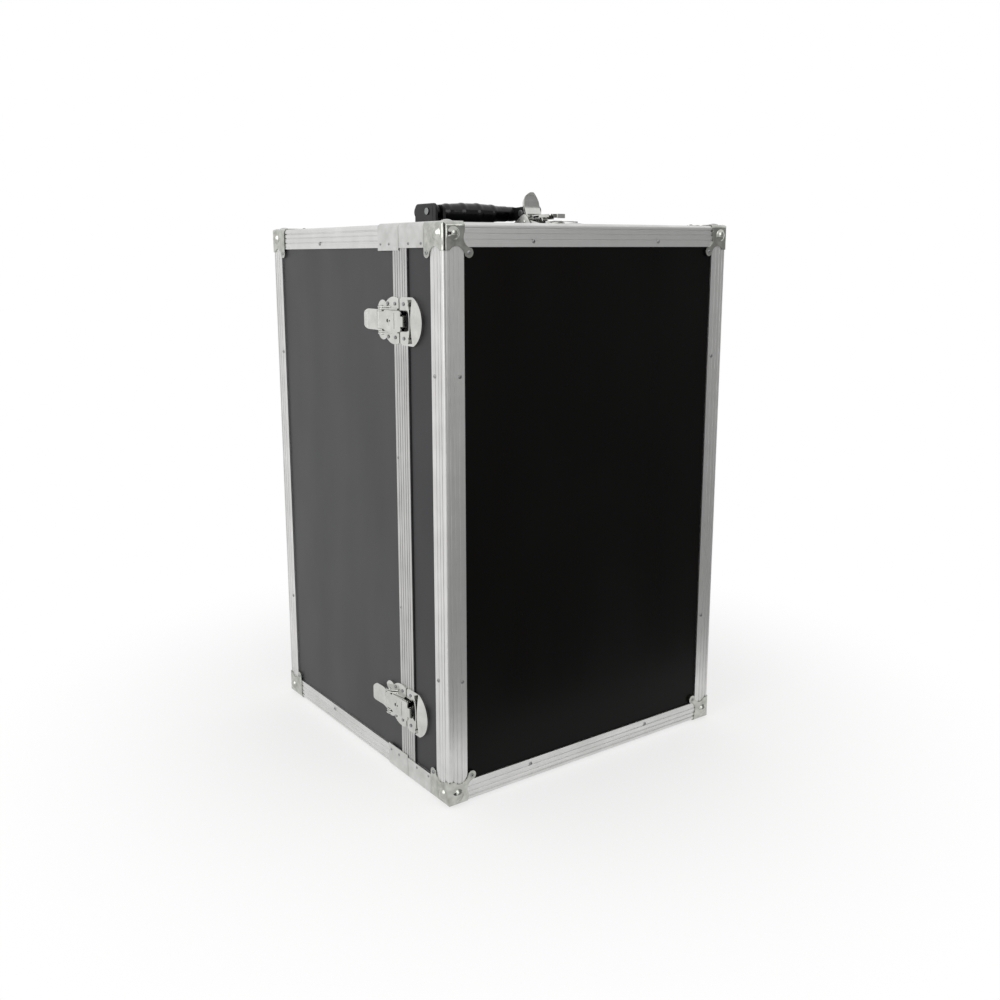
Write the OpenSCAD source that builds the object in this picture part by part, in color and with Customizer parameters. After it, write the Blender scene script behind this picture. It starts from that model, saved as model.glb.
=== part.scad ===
// Portable dental unit in an aluminium-edged flight case. The case body carries the compressor,
// the air tank, the bottles and the control panel; a front cover closes it and swings on hinges
// on the right side. +Z is up, the front cover faces -Y, and the case stands on Z = 0.

/* [Case] */
// Width of the case over its edge trims
case_w = 415; // [370:1:500]
// Depth of the case with its cover closed
case_d = 406; // [380:1:490]
// Height of the case over its edge trims
case_h = 640; // [600:1:770]
// Depth of the front cover, from its face to the seam
cover_d = 86; // [80:1:104]
// Thickness of the laminated plywood panels
panel_t = 7; // [5:0.5:9]

/* [Edge trims] */
// Width of each leg of the angle trim
trim_leg = 25; // [20:1:30]
// Thickness of the trim
trim_t = 2; // [1.5:0.1:2.4]
// Outer corner radius of the trim
trim_r = 4; // [3:0.1:5]
// Radius of the deep groove along each leg
groove_r = 0.9; // [0.5:0.05:1]
// Radius of the shallow grooves along each leg
fine_groove_r = 0.6; // [0.3:0.05:0.8]

/* [Seam rims] */
// Width of each rim's outer strip
rim_leg = 14; // [12:0.5:18]
// Thickness of the rim's web and inner leg
rim_t = 1.5; // [1.2:0.1:2]
// Gap between the two rims when closed
seam_gap = 0.6; // [0.4:0.1:1.2]
// Height of the tongue on the body rim
tongue_h = 3; // [2:0.1:3.6]
// Thickness of the tongue
tongue_t = 1.5; // [1:0.1:2]
// Thickness of the foam seal in the cover rim
seal_t = 1.8; // [1:0.1:2.4]

/* [Corner caps] */
// Sheet thickness of the stamped caps and brace plates
cap_t = 1.2; // [0.8:0.1:1.6]
// Reach of a cap along the width
cap_reach_x = 25.5; // [24:0.5:30]
// Reach of a cap along the depth
cap_reach_y = 36; // [32:0.5:40]
// Reach of a cap along the height
cap_reach_z = 28.5; // [24:0.5:30]
// Distance of each ear's rivet beyond the edge trims
ear_out = 5.5; // [5:0.5:9]
// Radius of each ear
ear_r = 5.5; // [4.5:0.5:6.5]
// Radius of the pressed dome on each face of a cap
dome_r = 6.5; // [5:0.5:8]
// Height of the pressed dome
dome_h = 1.8; // [1:0.1:2.4]
// Place of the dome from both edges
dome_at = 11.5; // [10:0.5:14]

/* [Brace plates] */
// Length of a brace plate on the body
body_brace_l = 44; // [38:1:54]
// Width of a body brace plate's legs
body_brace_w = 28; // [26:1:32]
// Width of a cover brace plate's legs
cover_brace_w = 25.4; // [25:0.2:30]

/* [Rivets] */
// Radius of a rivet head
rivet_r = 2.6; // [2:0.1:3.4]
// Radius of a rivet shank
shank_r = 1.5; // [1:0.1:1.8]
// Height of a rivet head
rivet_h = 1.1; // [0.8:0.1:1.6]

/* [Hinges] */
// Length of each hinge along the height
hinge_l = 62; // [50:1:80]
// Outer radius of the hinge knuckles
knuckle_r = 3.4; // [3:0.1:4]
// Radius of the hinge pin
hinge_pin_r = 1.6; // [1.2:0.1:2]
// Thickness of the hinge leaves
leaf_t = 1.6; // [1.2:0.1:2]

/* [Latches] */
// Height of the upper side latch over the case's underside
upper_latch_z = 537; // [470:1:560]
// Height of the lower side latch over the case's underside
lower_latch_z = 88; // [80:1:180]
// Sheet thickness of the latch pieces
latch_t = 1.6; // [1.2:0.1:1.8]
// Outer width of the lever and the hook's plate
lever_w = 23; // [20:0.5:24]
// Length of the lever from its pivot to its tip
lever_l = 35; // [32:1:40]
// Distance of the lever's pivot from the seam
pivot_y = 30; // [28:1:32]
// Height of the lever's pivot over the rim
pivot_z = 5.4; // [5.2:0.1:6.2]
// Offset of the hook's pivot from the lever's pivot
crank = 6; // [5.8:0.1:6.4]
// Radius of the latch pins
latch_pin_r = 1.5; // [1.2:0.1:1.7]
// Angle at which the open top latch stands
top_lift = 76; // [60:1:90]
// Distance of the keeper's flange from the seam
keeper_y = 14; // [13:0.5:15]
// Height of the keeper's flange over the rim
keeper_h = 5.4; // [5:0.1:6]
// Half width of the base and keeper plates
plate_r = 26; // [25:0.5:27]

/* [Handle] */
// Distance between the two handle pivots
handle_span = 146; // [130:1:170]
// Place of the handle's pivot line along the depth
handle_y = 22; // [10:1:60]
// Height of the pivot line over the case's top
handle_z = 20; // [18:1:22]
// Reach from the pivot line to the middle of the grip
grip_reach = 30; // [28:1:36]
// Radius of the grip
grip_r = 12.8; // [11:0.1:13.5]
// Radius of the handle pins
handle_pin_r = 3; // [2.5:0.1:4]

/* [Controls] */
// Depth of the control panel behind the seam
fascia_in = 32; // [26:1:50]
// Thickness of the control panel and the shelf
plate_t = 2; // [1.5:0.1:3]
// Height of the shelf over the case's underside
shelf_z = 300; // [280:1:330]
// Outer radius of the pressure gauge
gauge_r = 30; // [26:1:34]
// Radius of the control knobs
knob_r = 13; // [11:0.5:16]
// Radius of the handpiece outlets
outlet_r = 5; // [4:0.5:6]
// Radius of the suction outlet
suction_r = 7; // [6:0.5:9]

/* [Bottles and pedal] */
// Radius of the clean water bottle
water_r = 38; // [34:1:44]
// Height of the clean water bottle
water_h = 165; // [140:1:180]
// Radius of the waste bottle
waste_r = 50; // [44:1:56]
// Height of the waste bottle's body
waste_h = 170; // [150:1:190]
// Wall thickness of both bottles
bottle_t = 2; // [1.5:0.1:3]
// Width of the foot control's base
pedal_w = 104; // [90:1:108]
// Length of the foot control's base
pedal_l = 124; // [110:1:128]

/* [Compressor] */
// Radius of the compressor motor
motor_r = 48; // [42:1:52]
// Length of the compressor motor
motor_l = 110; // [100:1:120]
// Outer radius of the air tank
tank_r = 52; // [44:1:56]
// Length of the air tank
tank_l = 280; // [240:1:300]
// Side of the cooling fan's square frame
fan_w = 60; // [50:1:62]

/* [Hidden] */
$fn = 40;
e = 1;                       // overshoot of a cutting tool
fit = 0.1;                   // radial clearance of a turning fit
gap = 0.3;                   // clearance between pieces that move past each other

foot_flat = 0.4;             // how much of each lower dome is ground flat
z0 = cap_t + dome_h - foot_flat;
z1 = z0 + case_h;
zm = (z0 + z1) / 2;
xw = case_w / 2;
yb = case_d / 2;
seam_y = cover_d - yb;
ear_at = trim_leg + ear_out;     // an ear's rivet, from both edges
half_seam = seam_gap / 2;
inset = trim_t + panel_t;
body_y0 = seam_y + half_seam + rim_t;
seal_y = seam_y - half_seam - tongue_h - fit - seal_t;
cover_y1 = seal_y - rim_t;
hinge_x = xw + knuckle_r;
hinge_zs = [z0 + 0.17 * case_h, zm, z1 - 0.17 * case_h];
latch_heights = [z0 + upper_latch_z, z0 + lower_latch_z];

steel = "#c9cbcc";
alu = "#c4c5c0";
black = "#17171a";

// ---------- helpers ----------

module box(lo, hi) translate(lo) cube(hi - lo);

// Block of w by d about the Z axis, between two heights
module centred(w, d, za, zb) box([-w / 2, -d / 2, za], [w / 2, d / 2, zb]);

// Puts local +Z on a face's outward normal: L, R, T, B, F or K for the back
module on_face(f)
    rotate(f == "L" ? [0, -90, 0] : f == "R" ? [0, 90, 0] : f == "B" ? [180, 0, 0]
        : f == "F" ? [90, 0, 0] : f == "K" ? [-90, 0, 0] : [0, 0, 0]) children();

module rounded(w, h, r) {
    square([w - 2 * r, h], center = true);
    for (s = [-1, 1]) {
        translate([s * (w / 2 - r), 0]) square([2 * r, h - 2 * r], center = true);
        for (t = [-1, 1]) translate([s * (w / 2 - r), t * (h / 2 - r)]) circle(r);
    }
}

// Mirrors its children into the four corners of the case, seen from the front
module four_edges()
    for (sx = [0, 1], sz = [0, 1])
        translate([0, 0, sz * 2 * zm]) mirror([0, 0, sz]) mirror([sx, 0, 0]) children();

module latch_places() {
    for (h = latch_heights) translate([-xw, seam_y, h]) on_face("L") children();
    translate([0, seam_y, z1]) children();
}

// ---------- rivets ----------

trim_line = 19;              // distance of a trim's rivets from the outer edge
rim_rivet_y = seam_y + rim_leg - 3.5;
upper_row = z0 + 0.754 * case_h;
lower_row = z0 + 0.226 * case_h;

cover_face_rivets = concat(
    [for (s = [-1, 1]) [s * 0.222 * case_w, -yb, z1 - trim_line, "F"]],
    [for (s = [-1, 1]) [s * 0.222 * case_w, -yb, z0 + trim_line, "F"]],
    [for (s = [-1, 1], z = [lower_row, upper_row]) [s * (xw - trim_line), -yb, z, "F"]],
    [for (z = [lower_row, upper_row]) [-xw, trim_line - yb, z, "L"]],
    [for (z = [lower_row, upper_row]) [xw, trim_line - yb, z, "R"]]);
body_face_rivets = concat(
    [for (z = [z0 + trim_line, z1 - trim_line]) [-xw, 0.17 * case_d, z, "L"]],
    [for (z = [z0 + trim_line, z1 - trim_line]) [xw, 0.17 * case_d, z, "R"]],
    [for (z = [lower_row, upper_row]) [-xw, yb - trim_line, z, "L"]],
    [for (z = [lower_row, upper_row]) [xw, yb - trim_line, z, "R"]],
    [for (s = [-1, 1], z = [lower_row, upper_row]) [s * (xw - trim_line), yb, z, "K"]],
    [for (z = [z0 + 0.325 * case_h, z0 + 0.6 * case_h]) [-xw, rim_rivet_y, z, "L"]]);

// Ear rivets of one end's four caps: s is -1 for the cover, 1 for the back
function ear_rivets(s) = concat(
    [for (x = [-1, 1], z = [z0 + ear_at, z1 - ear_at]) [x * (xw - ear_at), s * (yb + cap_t), z,
        s < 0 ? "F" : "K"]],
    [for (x = [-1, 1], z = [z0 + ear_at, z1 - ear_at]) [x * (xw + cap_t), s * (yb - ear_at), z,
        x < 0 ? "L" : "R"]],
    [for (x = [-1, 1]) [x * (xw - ear_at), s * (yb - ear_at), z1 + cap_t, "T"]],
    [for (x = [-1, 1]) [x * (xw - ear_at), s * (yb - ear_at), z0 - cap_t, "B"]]);

// Brace rivets on both side faces, at two distances from the seam
function brace_rivets(ys, w) = concat(
    [for (y = ys, z = [z0 + w, z1 - w]) [-xw - cap_t, y, z, "L"]],
    [for (y = ys, z = [z0 + w, z1 - w]) [xw + cap_t, y, z, "R"]]);
brace_inner = 4;             // a brace rivet's distance from the plate's inner edge
body_brace_rivets = brace_rivets([seam_y + rim_leg + 6, seam_y + body_brace_l - 6],
    trim_leg - brace_inner);
cover_brace_rivets = brace_rivets([seam_y - rim_leg - 6, cap_reach_y - yb + 5],
    trim_leg - brace_inner);

body_points = concat(body_face_rivets, ear_rivets(1), body_brace_rivets);
cover_points = concat(cover_face_rivets, ear_rivets(-1), cover_brace_rivets);

module rivet_heads(points)
    for (p = points) translate([p[0], p[1], p[2]]) on_face(p[3]) {
        cylinder(r = rivet_r, h = rivet_h / 2);
        translate([0, 0, rivet_h / 2]) cylinder(r1 = rivet_r, r2 = 0.6 * rivet_r, h = rivet_h / 2);
        translate([0, 0, -inset + 1]) cylinder(r = shank_r, h = inset);
    }

module rivet_bores(points)
    for (p = points) translate([p[0], p[1], p[2]]) on_face(p[3])
        translate([0, 0, -inset]) cylinder(r = shank_r + fit / 2, h = inset + 2 * e);

// ---------- walls ----------

wall_x = xw - trim_t;
wall_y = yb - trim_t;

inlet_at = [-120, z0 + 70];  // power inlet's place on the back, as x and z
inlet_w = 50;
inlet_h = 58;
fan_at = [110, z0 + 90];
fan_bore = fan_w / 2 - 3;

module left_wall() color(black) difference() {
    box([-wall_x, body_y0, z0 + inset], [-wall_x + panel_t, yb - inset, z1 - inset]);
    rivet_bores(body_points);
}

module right_wall() color(black) difference() {
    box([wall_x - panel_t, body_y0, z0 + inset], [wall_x, yb - inset, z1 - inset]);
    rivet_bores(body_points);
}

module top_wall() color(black) difference() {
    box([-wall_x, body_y0, z1 - inset], [wall_x, yb - inset, z1 - trim_t]);
    rivet_bores(body_points);
    handle_bores();
}

module bottom_wall() color(black) difference() {
    box([-wall_x, body_y0, z0 + trim_t], [wall_x, yb - inset, z0 + inset]);
    rivet_bores(body_points);
}

module back_wall() color(black) difference() {
    box([-wall_x, yb - inset, z0 + trim_t], [wall_x, wall_y, z1 - trim_t]);
    rivet_bores(body_points);
    translate([inlet_at[0] - inlet_w / 2, yb - inset - e, inlet_at[1] - inlet_h / 2])
        cube([inlet_w, inset + 2 * e, inlet_h]);
    translate([fan_at[0], yb - inset - e, fan_at[1]]) rotate([-90, 0, 0])
        cylinder(r = fan_bore, h = inset + 2 * e);
}

// ---------- edge trims ----------

// Section of the angle trim, with its outer corner at the origin and legs along +X and +Y
module trim_section() difference() {
    square(trim_leg);
    translate([trim_t, trim_t]) square(trim_leg);
    difference() {
        translate([-e, -e]) square(trim_r + e);
        translate([trim_r, trim_r]) circle(trim_r);
    }
    for (g = [[0.25, groove_r], [0.46, fine_groove_r], [0.7, fine_groove_r]]) {
        translate([g[0] * trim_leg, 0]) circle(g[1], $fn = 16);
        translate([0, g[0] * trim_leg]) circle(g[1], $fn = 16);
    }
}

// Wedges that mitre one end of a trim on both of its legs
module mitre() {
    slit = 0.1;
    span = trim_leg + 2 * e;
    tri = [[-e, -span], [span, -span], [span, span + slit], [-e, slit - e]];
    translate([0, span - e, 0]) rotate([90, 0, 0]) linear_extrude(span) polygon(tri);
    translate([-e, 0, 0]) rotate([90, 0, 90]) linear_extrude(span) polygon(tri);
}

// A trim of length l along +Z; an end that is not mitred is square
module trim(l, both) difference() {
    linear_extrude(l) trim_section();
    mitre();
    if (both) translate([0, 0, l]) mirror([0, 0, 1]) mitre();
}

// The trims of one end of the case, built at the front; run is the length of the side trims
module end_trims(run) {
    for (sx = [0, 1]) mirror([sx, 0, 0]) translate([-xw, -yb, z0]) trim(case_h, true);
    for (sz = [0, 1]) translate([0, 0, sz * 2 * zm]) mirror([0, 0, sz])
        translate([-xw, -yb, z0]) rotate([90, 0, 90]) trim(case_w, true);
    four_edges() translate([-xw, -yb, z0]) rotate([0, -90, -90]) trim(run, false);
}

module body_trims() color(alu) difference() {
    mirror([0, 1, 0]) end_trims(yb - seam_y - half_seam - rim_leg);
    rivet_bores(body_points);
}

module cover_trims() color(alu) difference() {
    end_trims(cover_d - half_seam - rim_leg);
    rivet_bores(cover_points);
}

// ---------- seam rims ----------

// Rectangular ring between two insets from the case's outline, from ya to yb
module ring(outer, inner, ya, yz) translate([0, yz, zm]) rotate([90, 0, 0])
    linear_extrude(yz - ya) difference() {
        if (outer < trim_r) rounded(case_w - 2 * outer, case_h - 2 * outer, trim_r - outer);
        else square([case_w - 2 * outer, case_h - 2 * outer], center = true);
        square([case_w - 2 * inner, case_h - 2 * inner], center = true);
    }

rim_groove = 0.5;            // depth of the two grooves round each rim strip
groove_w = 1;                // width of those grooves

module rim_strip(ya, yz) difference() {
    ring(0, trim_t, ya, yz);
    for (t = [0.3, 0.62])
        ring(-e, rim_groove, ya + t * (yz - ya), ya + t * (yz - ya) + groove_w);
}

module body_rim() color(alu) difference() {
    union() {
        rim_strip(seam_y + half_seam, seam_y + half_seam + rim_leg);
        ring(trim_t, inset, seam_y + half_seam, body_y0);
        ring(inset, inset + rim_t, seam_y + half_seam, seam_y + rim_leg);
        ring(inset / 2 - tongue_t / 2, inset / 2 + tongue_t / 2, seam_y - tongue_h,
            seam_y + half_seam);
    }
    rivet_bores(body_points);
}

module cover_rim() color(alu) difference() {
    union() {
        rim_strip(seam_y - half_seam - rim_leg, seam_y - half_seam);
        ring(trim_t, inset, cover_y1, seal_y);
        ring(inset, inset + rim_t, seam_y - rim_leg, seam_y - half_seam);
    }
    rivet_bores(cover_points);
}

module cover_seal() color("#2a2a2c")
    ring(trim_t, inset, seal_y, seal_y + seal_t);

// ---------- stamped corner caps ----------

// Outline of one face of a cap: two arms along the edges and an ear on the diagonal
module cap_outline(u, v) {
    scoop = 10.4;
    c = ear_r * cos(45);
    difference() {
        union() {
            square([u, v]);
            translate([ear_at, ear_at]) circle(ear_r);
            polygon([[u / 2, v], [u, v / 2], [ear_at + c, ear_at - c], [ear_at - c, ear_at + c]]);
        }
        if (u < ear_at) translate([ear_at + 4, ear_at - 15]) circle(scoop);
        if (v < ear_at) translate([ear_at - 15, ear_at + 4]) circle(scoop);
    }
}

// Prism with rounded edges whose corner is at the origin, grown outwards by g
module rounded_block(g, r) {
    s = 3 * trim_leg;
    intersection() {
        translate([-g, -g, -g]) linear_extrude(s) block_face(s, r);
        translate([-g, -g, -g]) rotate([90, 0, 90]) linear_extrude(s) block_face(s, r);
        translate([-g, s - g, -g]) rotate([90, 0, 0]) linear_extrude(s) block_face(s, r);
    }
}

module block_face(s, r) difference() {
    square(s);
    difference() {
        translate([-e, -e]) square(r + e);
        translate([r, r]) circle(r);
    }
}

module dome_cap() {
    ball = (dome_r * dome_r + dome_h * dome_h) / (2 * dome_h);
    intersection() {
        translate([0, 0, dome_h - ball]) sphere(ball, $fn = 64);
        cylinder(r = dome_r + e, h = dome_h);
    }
}

// One cap with its corner at the origin, arms along +X, +Y and +Z
module cap() difference() {
    union() {
        intersection() {
            difference() {
                rounded_block(cap_t, trim_r + cap_t);
                rounded_block(0, trim_r - 0.5);
            }
            union() {
                reach = [cap_reach_x, cap_reach_y, cap_reach_z];
                deep = trim_r + cap_t;
                translate([0, 0, -cap_t]) linear_extrude(deep) cap_face(reach[0], reach[1]);
                translate([-cap_t, 0, 0]) rotate([90, 0, 90]) linear_extrude(deep)
                    cap_face(reach[1], reach[2]);
                translate([0, deep - cap_t, 0]) rotate([90, 0, 0]) linear_extrude(deep)
                    cap_face(reach[0], reach[2]);
            }
        }
        translate([dome_at, dome_at, -cap_t]) rotate([180, 0, 0]) dome_cap();
        translate([-cap_t, dome_at, dome_at]) rotate([0, -90, 0]) dome_cap();
        translate([dome_at, -cap_t, dome_at]) rotate([90, 0, 0]) dome_cap();
        pad = ear_r - 0.8;
        translate([ear_at, ear_at, 0]) cylinder(r = pad, h = trim_t);
        translate([0, ear_at, ear_at]) rotate([0, 90, 0]) cylinder(r = pad, h = trim_t);
        translate([ear_at, 0, ear_at]) rotate([-90, 0, 0]) cylinder(r = pad, h = trim_t);
    }
}

// A cap's face outline, grown over the rounded edges so that it meets its neighbours
module cap_face(u, v) {
    cap_outline(u, v);
    translate([-cap_t, -cap_t]) square([u + cap_t, trim_r]);
    translate([-cap_t, -cap_t]) square([trim_r, v + cap_t]);
}

module end_caps(points) difference() {
    intersection() {
        four_edges() translate([-xw, -yb, z0]) cap();
        box([-case_w, -case_d, 0], [case_w, case_d, z1 + case_h]);
    }
    rivet_bores(points);
}

module body_corners() color(steel) mirror([0, 1, 0]) end_caps(
    [for (p = ear_rivets(1)) [p[0], -p[1], p[2], p[3] == "K" ? "F" : p[3]]]);
module cover_corners() color(steel) end_caps(ear_rivets(-1));

// ---------- brace plates ----------

module brace(l, w) translate([-xw, 0, z0]) rotate([90, 0, 0]) linear_extrude(l) difference() {
    translate([-cap_t, -cap_t]) block_face(w + cap_t, trim_r + cap_t);
    block_face(w + e, trim_r - 0.5);
}

module body_braces() color(steel) difference() {
    four_edges() translate([0, seam_y + body_brace_l, 0])
        brace(body_brace_l - half_seam, body_brace_w);
    rivet_bores(body_brace_rivets);
}

module cover_braces() color(steel) difference() {
    four_edges() translate([0, seam_y - half_seam, 0])
        brace(cover_d - half_seam - cap_reach_y - gap, cover_brace_w);
    rivet_bores(cover_brace_rivets);
}

module body_rivets() color(steel) rivet_heads(body_points);
module cover_rivets() color(steel) rivet_heads(cover_points);

// ---------- hinges ----------

knuckle_l = (hinge_l - 4 * gap) / 5;
leaf_w = rim_leg - 1;

// One leaf in local axes: the pin runs along Z at the origin and the leaf lies towards +Y;
// odd picks which of the five knuckles it carries
module leaf(odd) difference() {
    union() {
        box([-knuckle_r, 0, -hinge_l / 2], [-knuckle_r + leaf_t, leaf_w, hinge_l / 2]);
        for (k = [odd:2:4]) translate([0, 0, k * (knuckle_l + gap) - hinge_l / 2])
            cylinder(r = knuckle_r, h = knuckle_l);
    }
    for (k = [1 - odd:2:4]) translate([0, 0, k * (knuckle_l + gap) - gap - hinge_l / 2])
        cylinder(r = knuckle_r + gap, h = knuckle_l + 2 * gap);
    translate([0, 0, -hinge_l]) cylinder(r = hinge_pin_r + fit / 2, h = 2 * hinge_l);
}

module hinge_body_leaves() color(steel)
    for (z = hinge_zs) translate([hinge_x, seam_y, z]) leaf(0);

module hinge_cover_leaves() color(steel)
    for (z = hinge_zs) translate([hinge_x, seam_y, z]) mirror([0, 1, 0]) leaf(1);

module hinge_pins() color(steel)
    for (z = hinge_zs) translate([hinge_x, seam_y, z - hinge_l / 2 - 1]) {
        cylinder(r = hinge_pin_r, h = hinge_l + 2);
        cylinder(r = hinge_pin_r + 1, h = 1 - fit);
        translate([0, 0, hinge_l + 1 + fit]) cylinder(r = hinge_pin_r + 1, h = 1 - fit);
    }

// ---------- latches ----------
// Local axes: X along the seam, +Y from the seam towards the body, Z out of the case

lever_in = lever_w / 2 - latch_t;
cheek_in = lever_w / 2 + gap;
cheek_t = latch_t;
neck_w = 2 * lever_in - 2 * gap;
barrel_r = 2.6;              // outer radius of the hook's pivot barrel
knuckle = 3;                 // outer radius of the lever's cheeks round their pivot
claw_w = 11;
claw_top = keeper_h + gap;
claw_low = 2.4;
lobe_r = 11;                 // radius of the two lobes at the base plate's far end
lobe_y = 35;
keeper_mid = 17;             // centre and radius of the keeper plate's round end
keeper_r = plate_r + 2.3;
dish_h = 3;                  // height of the cone that the keeper's far end is part of
guard_r = 74;                // radius of the curved guard wall round the claw
guard_y = 26;
screw_places = [[18.5, 9], [17.5, 24]];

module base_shape() intersection() {
    union() {
        translate([0, lobe_r]) circle(plate_r);
        for (s = [-1, 1]) translate([s * lobe_r, lobe_y]) circle(lobe_r);
        translate([0, lobe_y]) square([2 * lobe_r, 2 * lobe_r - 1], center = true);
    }
    translate([-2 * plate_r, 1]) square([4 * plate_r, 2 * lobe_y]);
}

module keeper_shape() intersection() {
    translate([0, keeper_mid]) circle(keeper_r);
    translate([-plate_r, 1]) square([2 * plate_r, 2 * plate_r]);
}

// Plate of the given outline that lies on the rim strip and steps down onto the panel behind it
module stepped_plate() {
    linear_extrude(latch_t) children();
    translate([0, 0, -trim_t]) linear_extrude(trim_t) intersection() {
        children();
        translate([-2 * plate_r, rim_leg + half_seam + fit]) square([4 * plate_r, 2 * lobe_y]);
    }
}

module screw_bores()
    for (s = [-1, 1], p = screw_places) translate([s * p[0], p[1], -inset])
        cylinder(r = 1.1, h = 2 * inset);

module latch_base() difference() {
    union() {
        stepped_plate() base_shape();
        for (s = [-1, 1]) translate([s * (cheek_in + cheek_t / 2) - cheek_t / 2, 0, 0])
            rotate([90, 0, 90]) linear_extrude(cheek_t) {
                translate([pivot_y, pivot_z]) circle(knuckle + 1);
                polygon([[2, latch_t - 0.2], [lobe_y + 9, latch_t - 0.2], [lobe_y + 8, 2.6],
                    [pivot_y + 5, pivot_z + 2.4], [pivot_y - 5, pivot_z + 2.4], [6, 3.8], [2, 3]]);
            }
    }
    translate([-lever_w, pivot_y, pivot_z]) rotate([0, 90, 0])
        cylinder(r = latch_pin_r + fit / 2, h = 2 * lever_w);
    screw_bores();
}

module latch_bases() color(steel) latch_places() latch_base();

// Lever with its pivot on the X axis, closed, so that it points to +Y. A stub on each cheek
// turns in the base, and a through pin carries the hook, which passes between the stubs
module lever() {
    pin_l = 2 * (cheek_in + cheek_t) + 1;
    web_y = crank + barrel_r + gap + 0.4;
    web_a = 1.2;
    web_b = -0.4;
    for (s = [-1, 1]) translate([s * (lever_in + latch_t / 2) - latch_t / 2, 0, 0])
        rotate([90, 0, 90]) linear_extrude(latch_t) {
            circle(knuckle);
            polygon([[0, -knuckle], [lever_l - 10, -knuckle], [lever_l - 6, web_b - latch_t / 2],
                [web_y, web_a], [0, knuckle]]);
        }
    intersection() {
        rotate([90, 0, 90]) translate([0, 0, -lever_w / 2]) linear_extrude(lever_w)
            polygon([[web_y, web_a - latch_t], [web_y, web_a], [lever_l - 3.4, web_b],
                [lever_l, web_b + 1.4], [lever_l, web_b + 1.4 - latch_t],
                [lever_l - 3, web_b - latch_t]]);
        translate([0, lever_l - 20, -lever_w]) linear_extrude(2 * lever_w) rounded(lever_w, 40, 5.5);
    }
    for (s = [0, 1]) mirror([s, 0, 0]) translate([lever_in, 0, 0]) rotate([0, 90, 0])
        cylinder(r = latch_pin_r, h = pin_l / 2 - lever_in);
    translate([-lever_in - latch_t / 2, crank, 0]) rotate([0, 90, 0])
        cylinder(r = latch_pin_r, h = 2 * lever_in + latch_t);
}

// Hook with its own pivot on the X axis; the claw reaches over the keeper's flange towards -Y
module hook() {
    seam = -(pivot_y + crank);
    far = seam - keeper_y;
    rise = claw_top - pivot_z;
    nose = far - gap - latch_t;
    wide_a = -crank - knuckle - 2;
    wide_b = seam - 11;
    skirt = 2;
    difference() {
        union() {
            rotate([90, 0, 90]) translate([0, 0, -neck_w / 2]) linear_extrude(neck_w) {
                circle(barrel_r);
                polygon([[0, rise + latch_t], [0, -latch_t / 2], [wide_a - 3, rise],
                    [wide_a - 3, rise + latch_t]]);
            }
            translate([0, (wide_a + wide_b) / 2, rise]) linear_extrude(latch_t)
                rounded(lever_w, wide_a - wide_b, 4);
            for (s = [-1, 1]) translate([s * (lever_in + latch_t / 2) - latch_t / 2,
                wide_b + 4, rise - skirt]) cube([latch_t, wide_a - wide_b - 8, skirt + latch_t / 2]);
            translate([-claw_w / 2, nose, rise]) cube([claw_w, wide_b - nose + 2, latch_t]);
            translate([-claw_w / 2, nose, claw_low - pivot_z])
                cube([claw_w, latch_t, rise - claw_low + pivot_z + latch_t / 2]);
        }
        rotate([0, 90, 0]) translate([0, 0, -lever_w])
            cylinder(r = latch_pin_r + fit / 2, h = 2 * lever_w);
        translate([0, seam + 16, 0]) cylinder(r = 2, h = lever_w);
        translate([-0.7, seam + 10.5, 0]) cube([1.4, 5, lever_w]);
        translate([-lever_w / 2 + 3, seam + 1.5, rise + latch_t - 0.6]) cube([lever_w - 6, 1, lever_w]);
    }
}

module keeper() mirror([0, 1, 0]) difference() {
    union() {
        stepped_plate() keeper_shape();
        translate([-claw_w / 2 - 1, keeper_y - latch_t, latch_t - 0.1])
            cube([claw_w + 2, latch_t, keeper_h - latch_t + 0.1]);
        translate([0, 0, latch_t - 0.1]) linear_extrude(3.2) intersection() {
            difference() {
                translate([0, guard_y - guard_r]) circle(guard_r);
                translate([0, guard_y - guard_r]) circle(guard_r - latch_t);
            }
            translate([-plate_r + 2.5, 0]) square(2 * (plate_r - 2.5));
        }
        intersection() {
            translate([0, keeper_mid, latch_t - 0.1])
                cylinder(r1 = keeper_r + 1, r2 = keeper_r - 20, h = dish_h);
            translate([0, 0, latch_t - 0.1]) linear_extrude(dish_h) difference() {
                keeper_shape();
                translate([-plate_r, 0]) square([2 * plate_r, guard_y + 0.6]);
            }
        }
    }
    screw_bores();
    translate([0, keeper_y + 4.6, -inset]) linear_extrude(2 * inset) rounded(19, 7.4, 2);
}

module latch_keepers() color(steel) latch_places() keeper();

module closed_lever() translate([0, pivot_y, pivot_z]) lever();
module closed_hook() translate([0, pivot_y + crank, pivot_z]) hook();
module raised_lever() translate([0, pivot_y, pivot_z]) rotate([top_lift, 0, 0]) lever();
module raised_hook()
    translate([0, pivot_y + crank * cos(top_lift), pivot_z + crank * sin(top_lift)]) hook();

module side_place(i) translate([-xw, seam_y, latch_heights[i]]) on_face("L") children();
module top_place() translate([0, seam_y, z1]) children();

module upper_lever() color(steel) side_place(0) closed_lever();
module lower_lever() color(steel) side_place(1) closed_lever();
module top_lever() color(steel) top_place() raised_lever();
module upper_hook() color(steel) side_place(0) closed_hook();
module lower_hook() color(steel) side_place(1) closed_hook();
module top_hook() color(steel) top_place() raised_hook();

// ---------- handle ----------

bracket_l = 20;              // length of a handle bracket along the width
bracket_d = 30;              // depth of a bracket
arm_w = 11;                  // width of the grip's arm between the bracket's cheeks
bracket_x = handle_span / 2;
cheek_w = 4;

module handle_bores()
    for (s = [-1, 1], t = [-1, 1])
        translate([s * bracket_x, handle_y + t * (bracket_d / 2 - 5), z1 - inset - e])
            cylinder(r = shank_r, h = inset + e);

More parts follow.
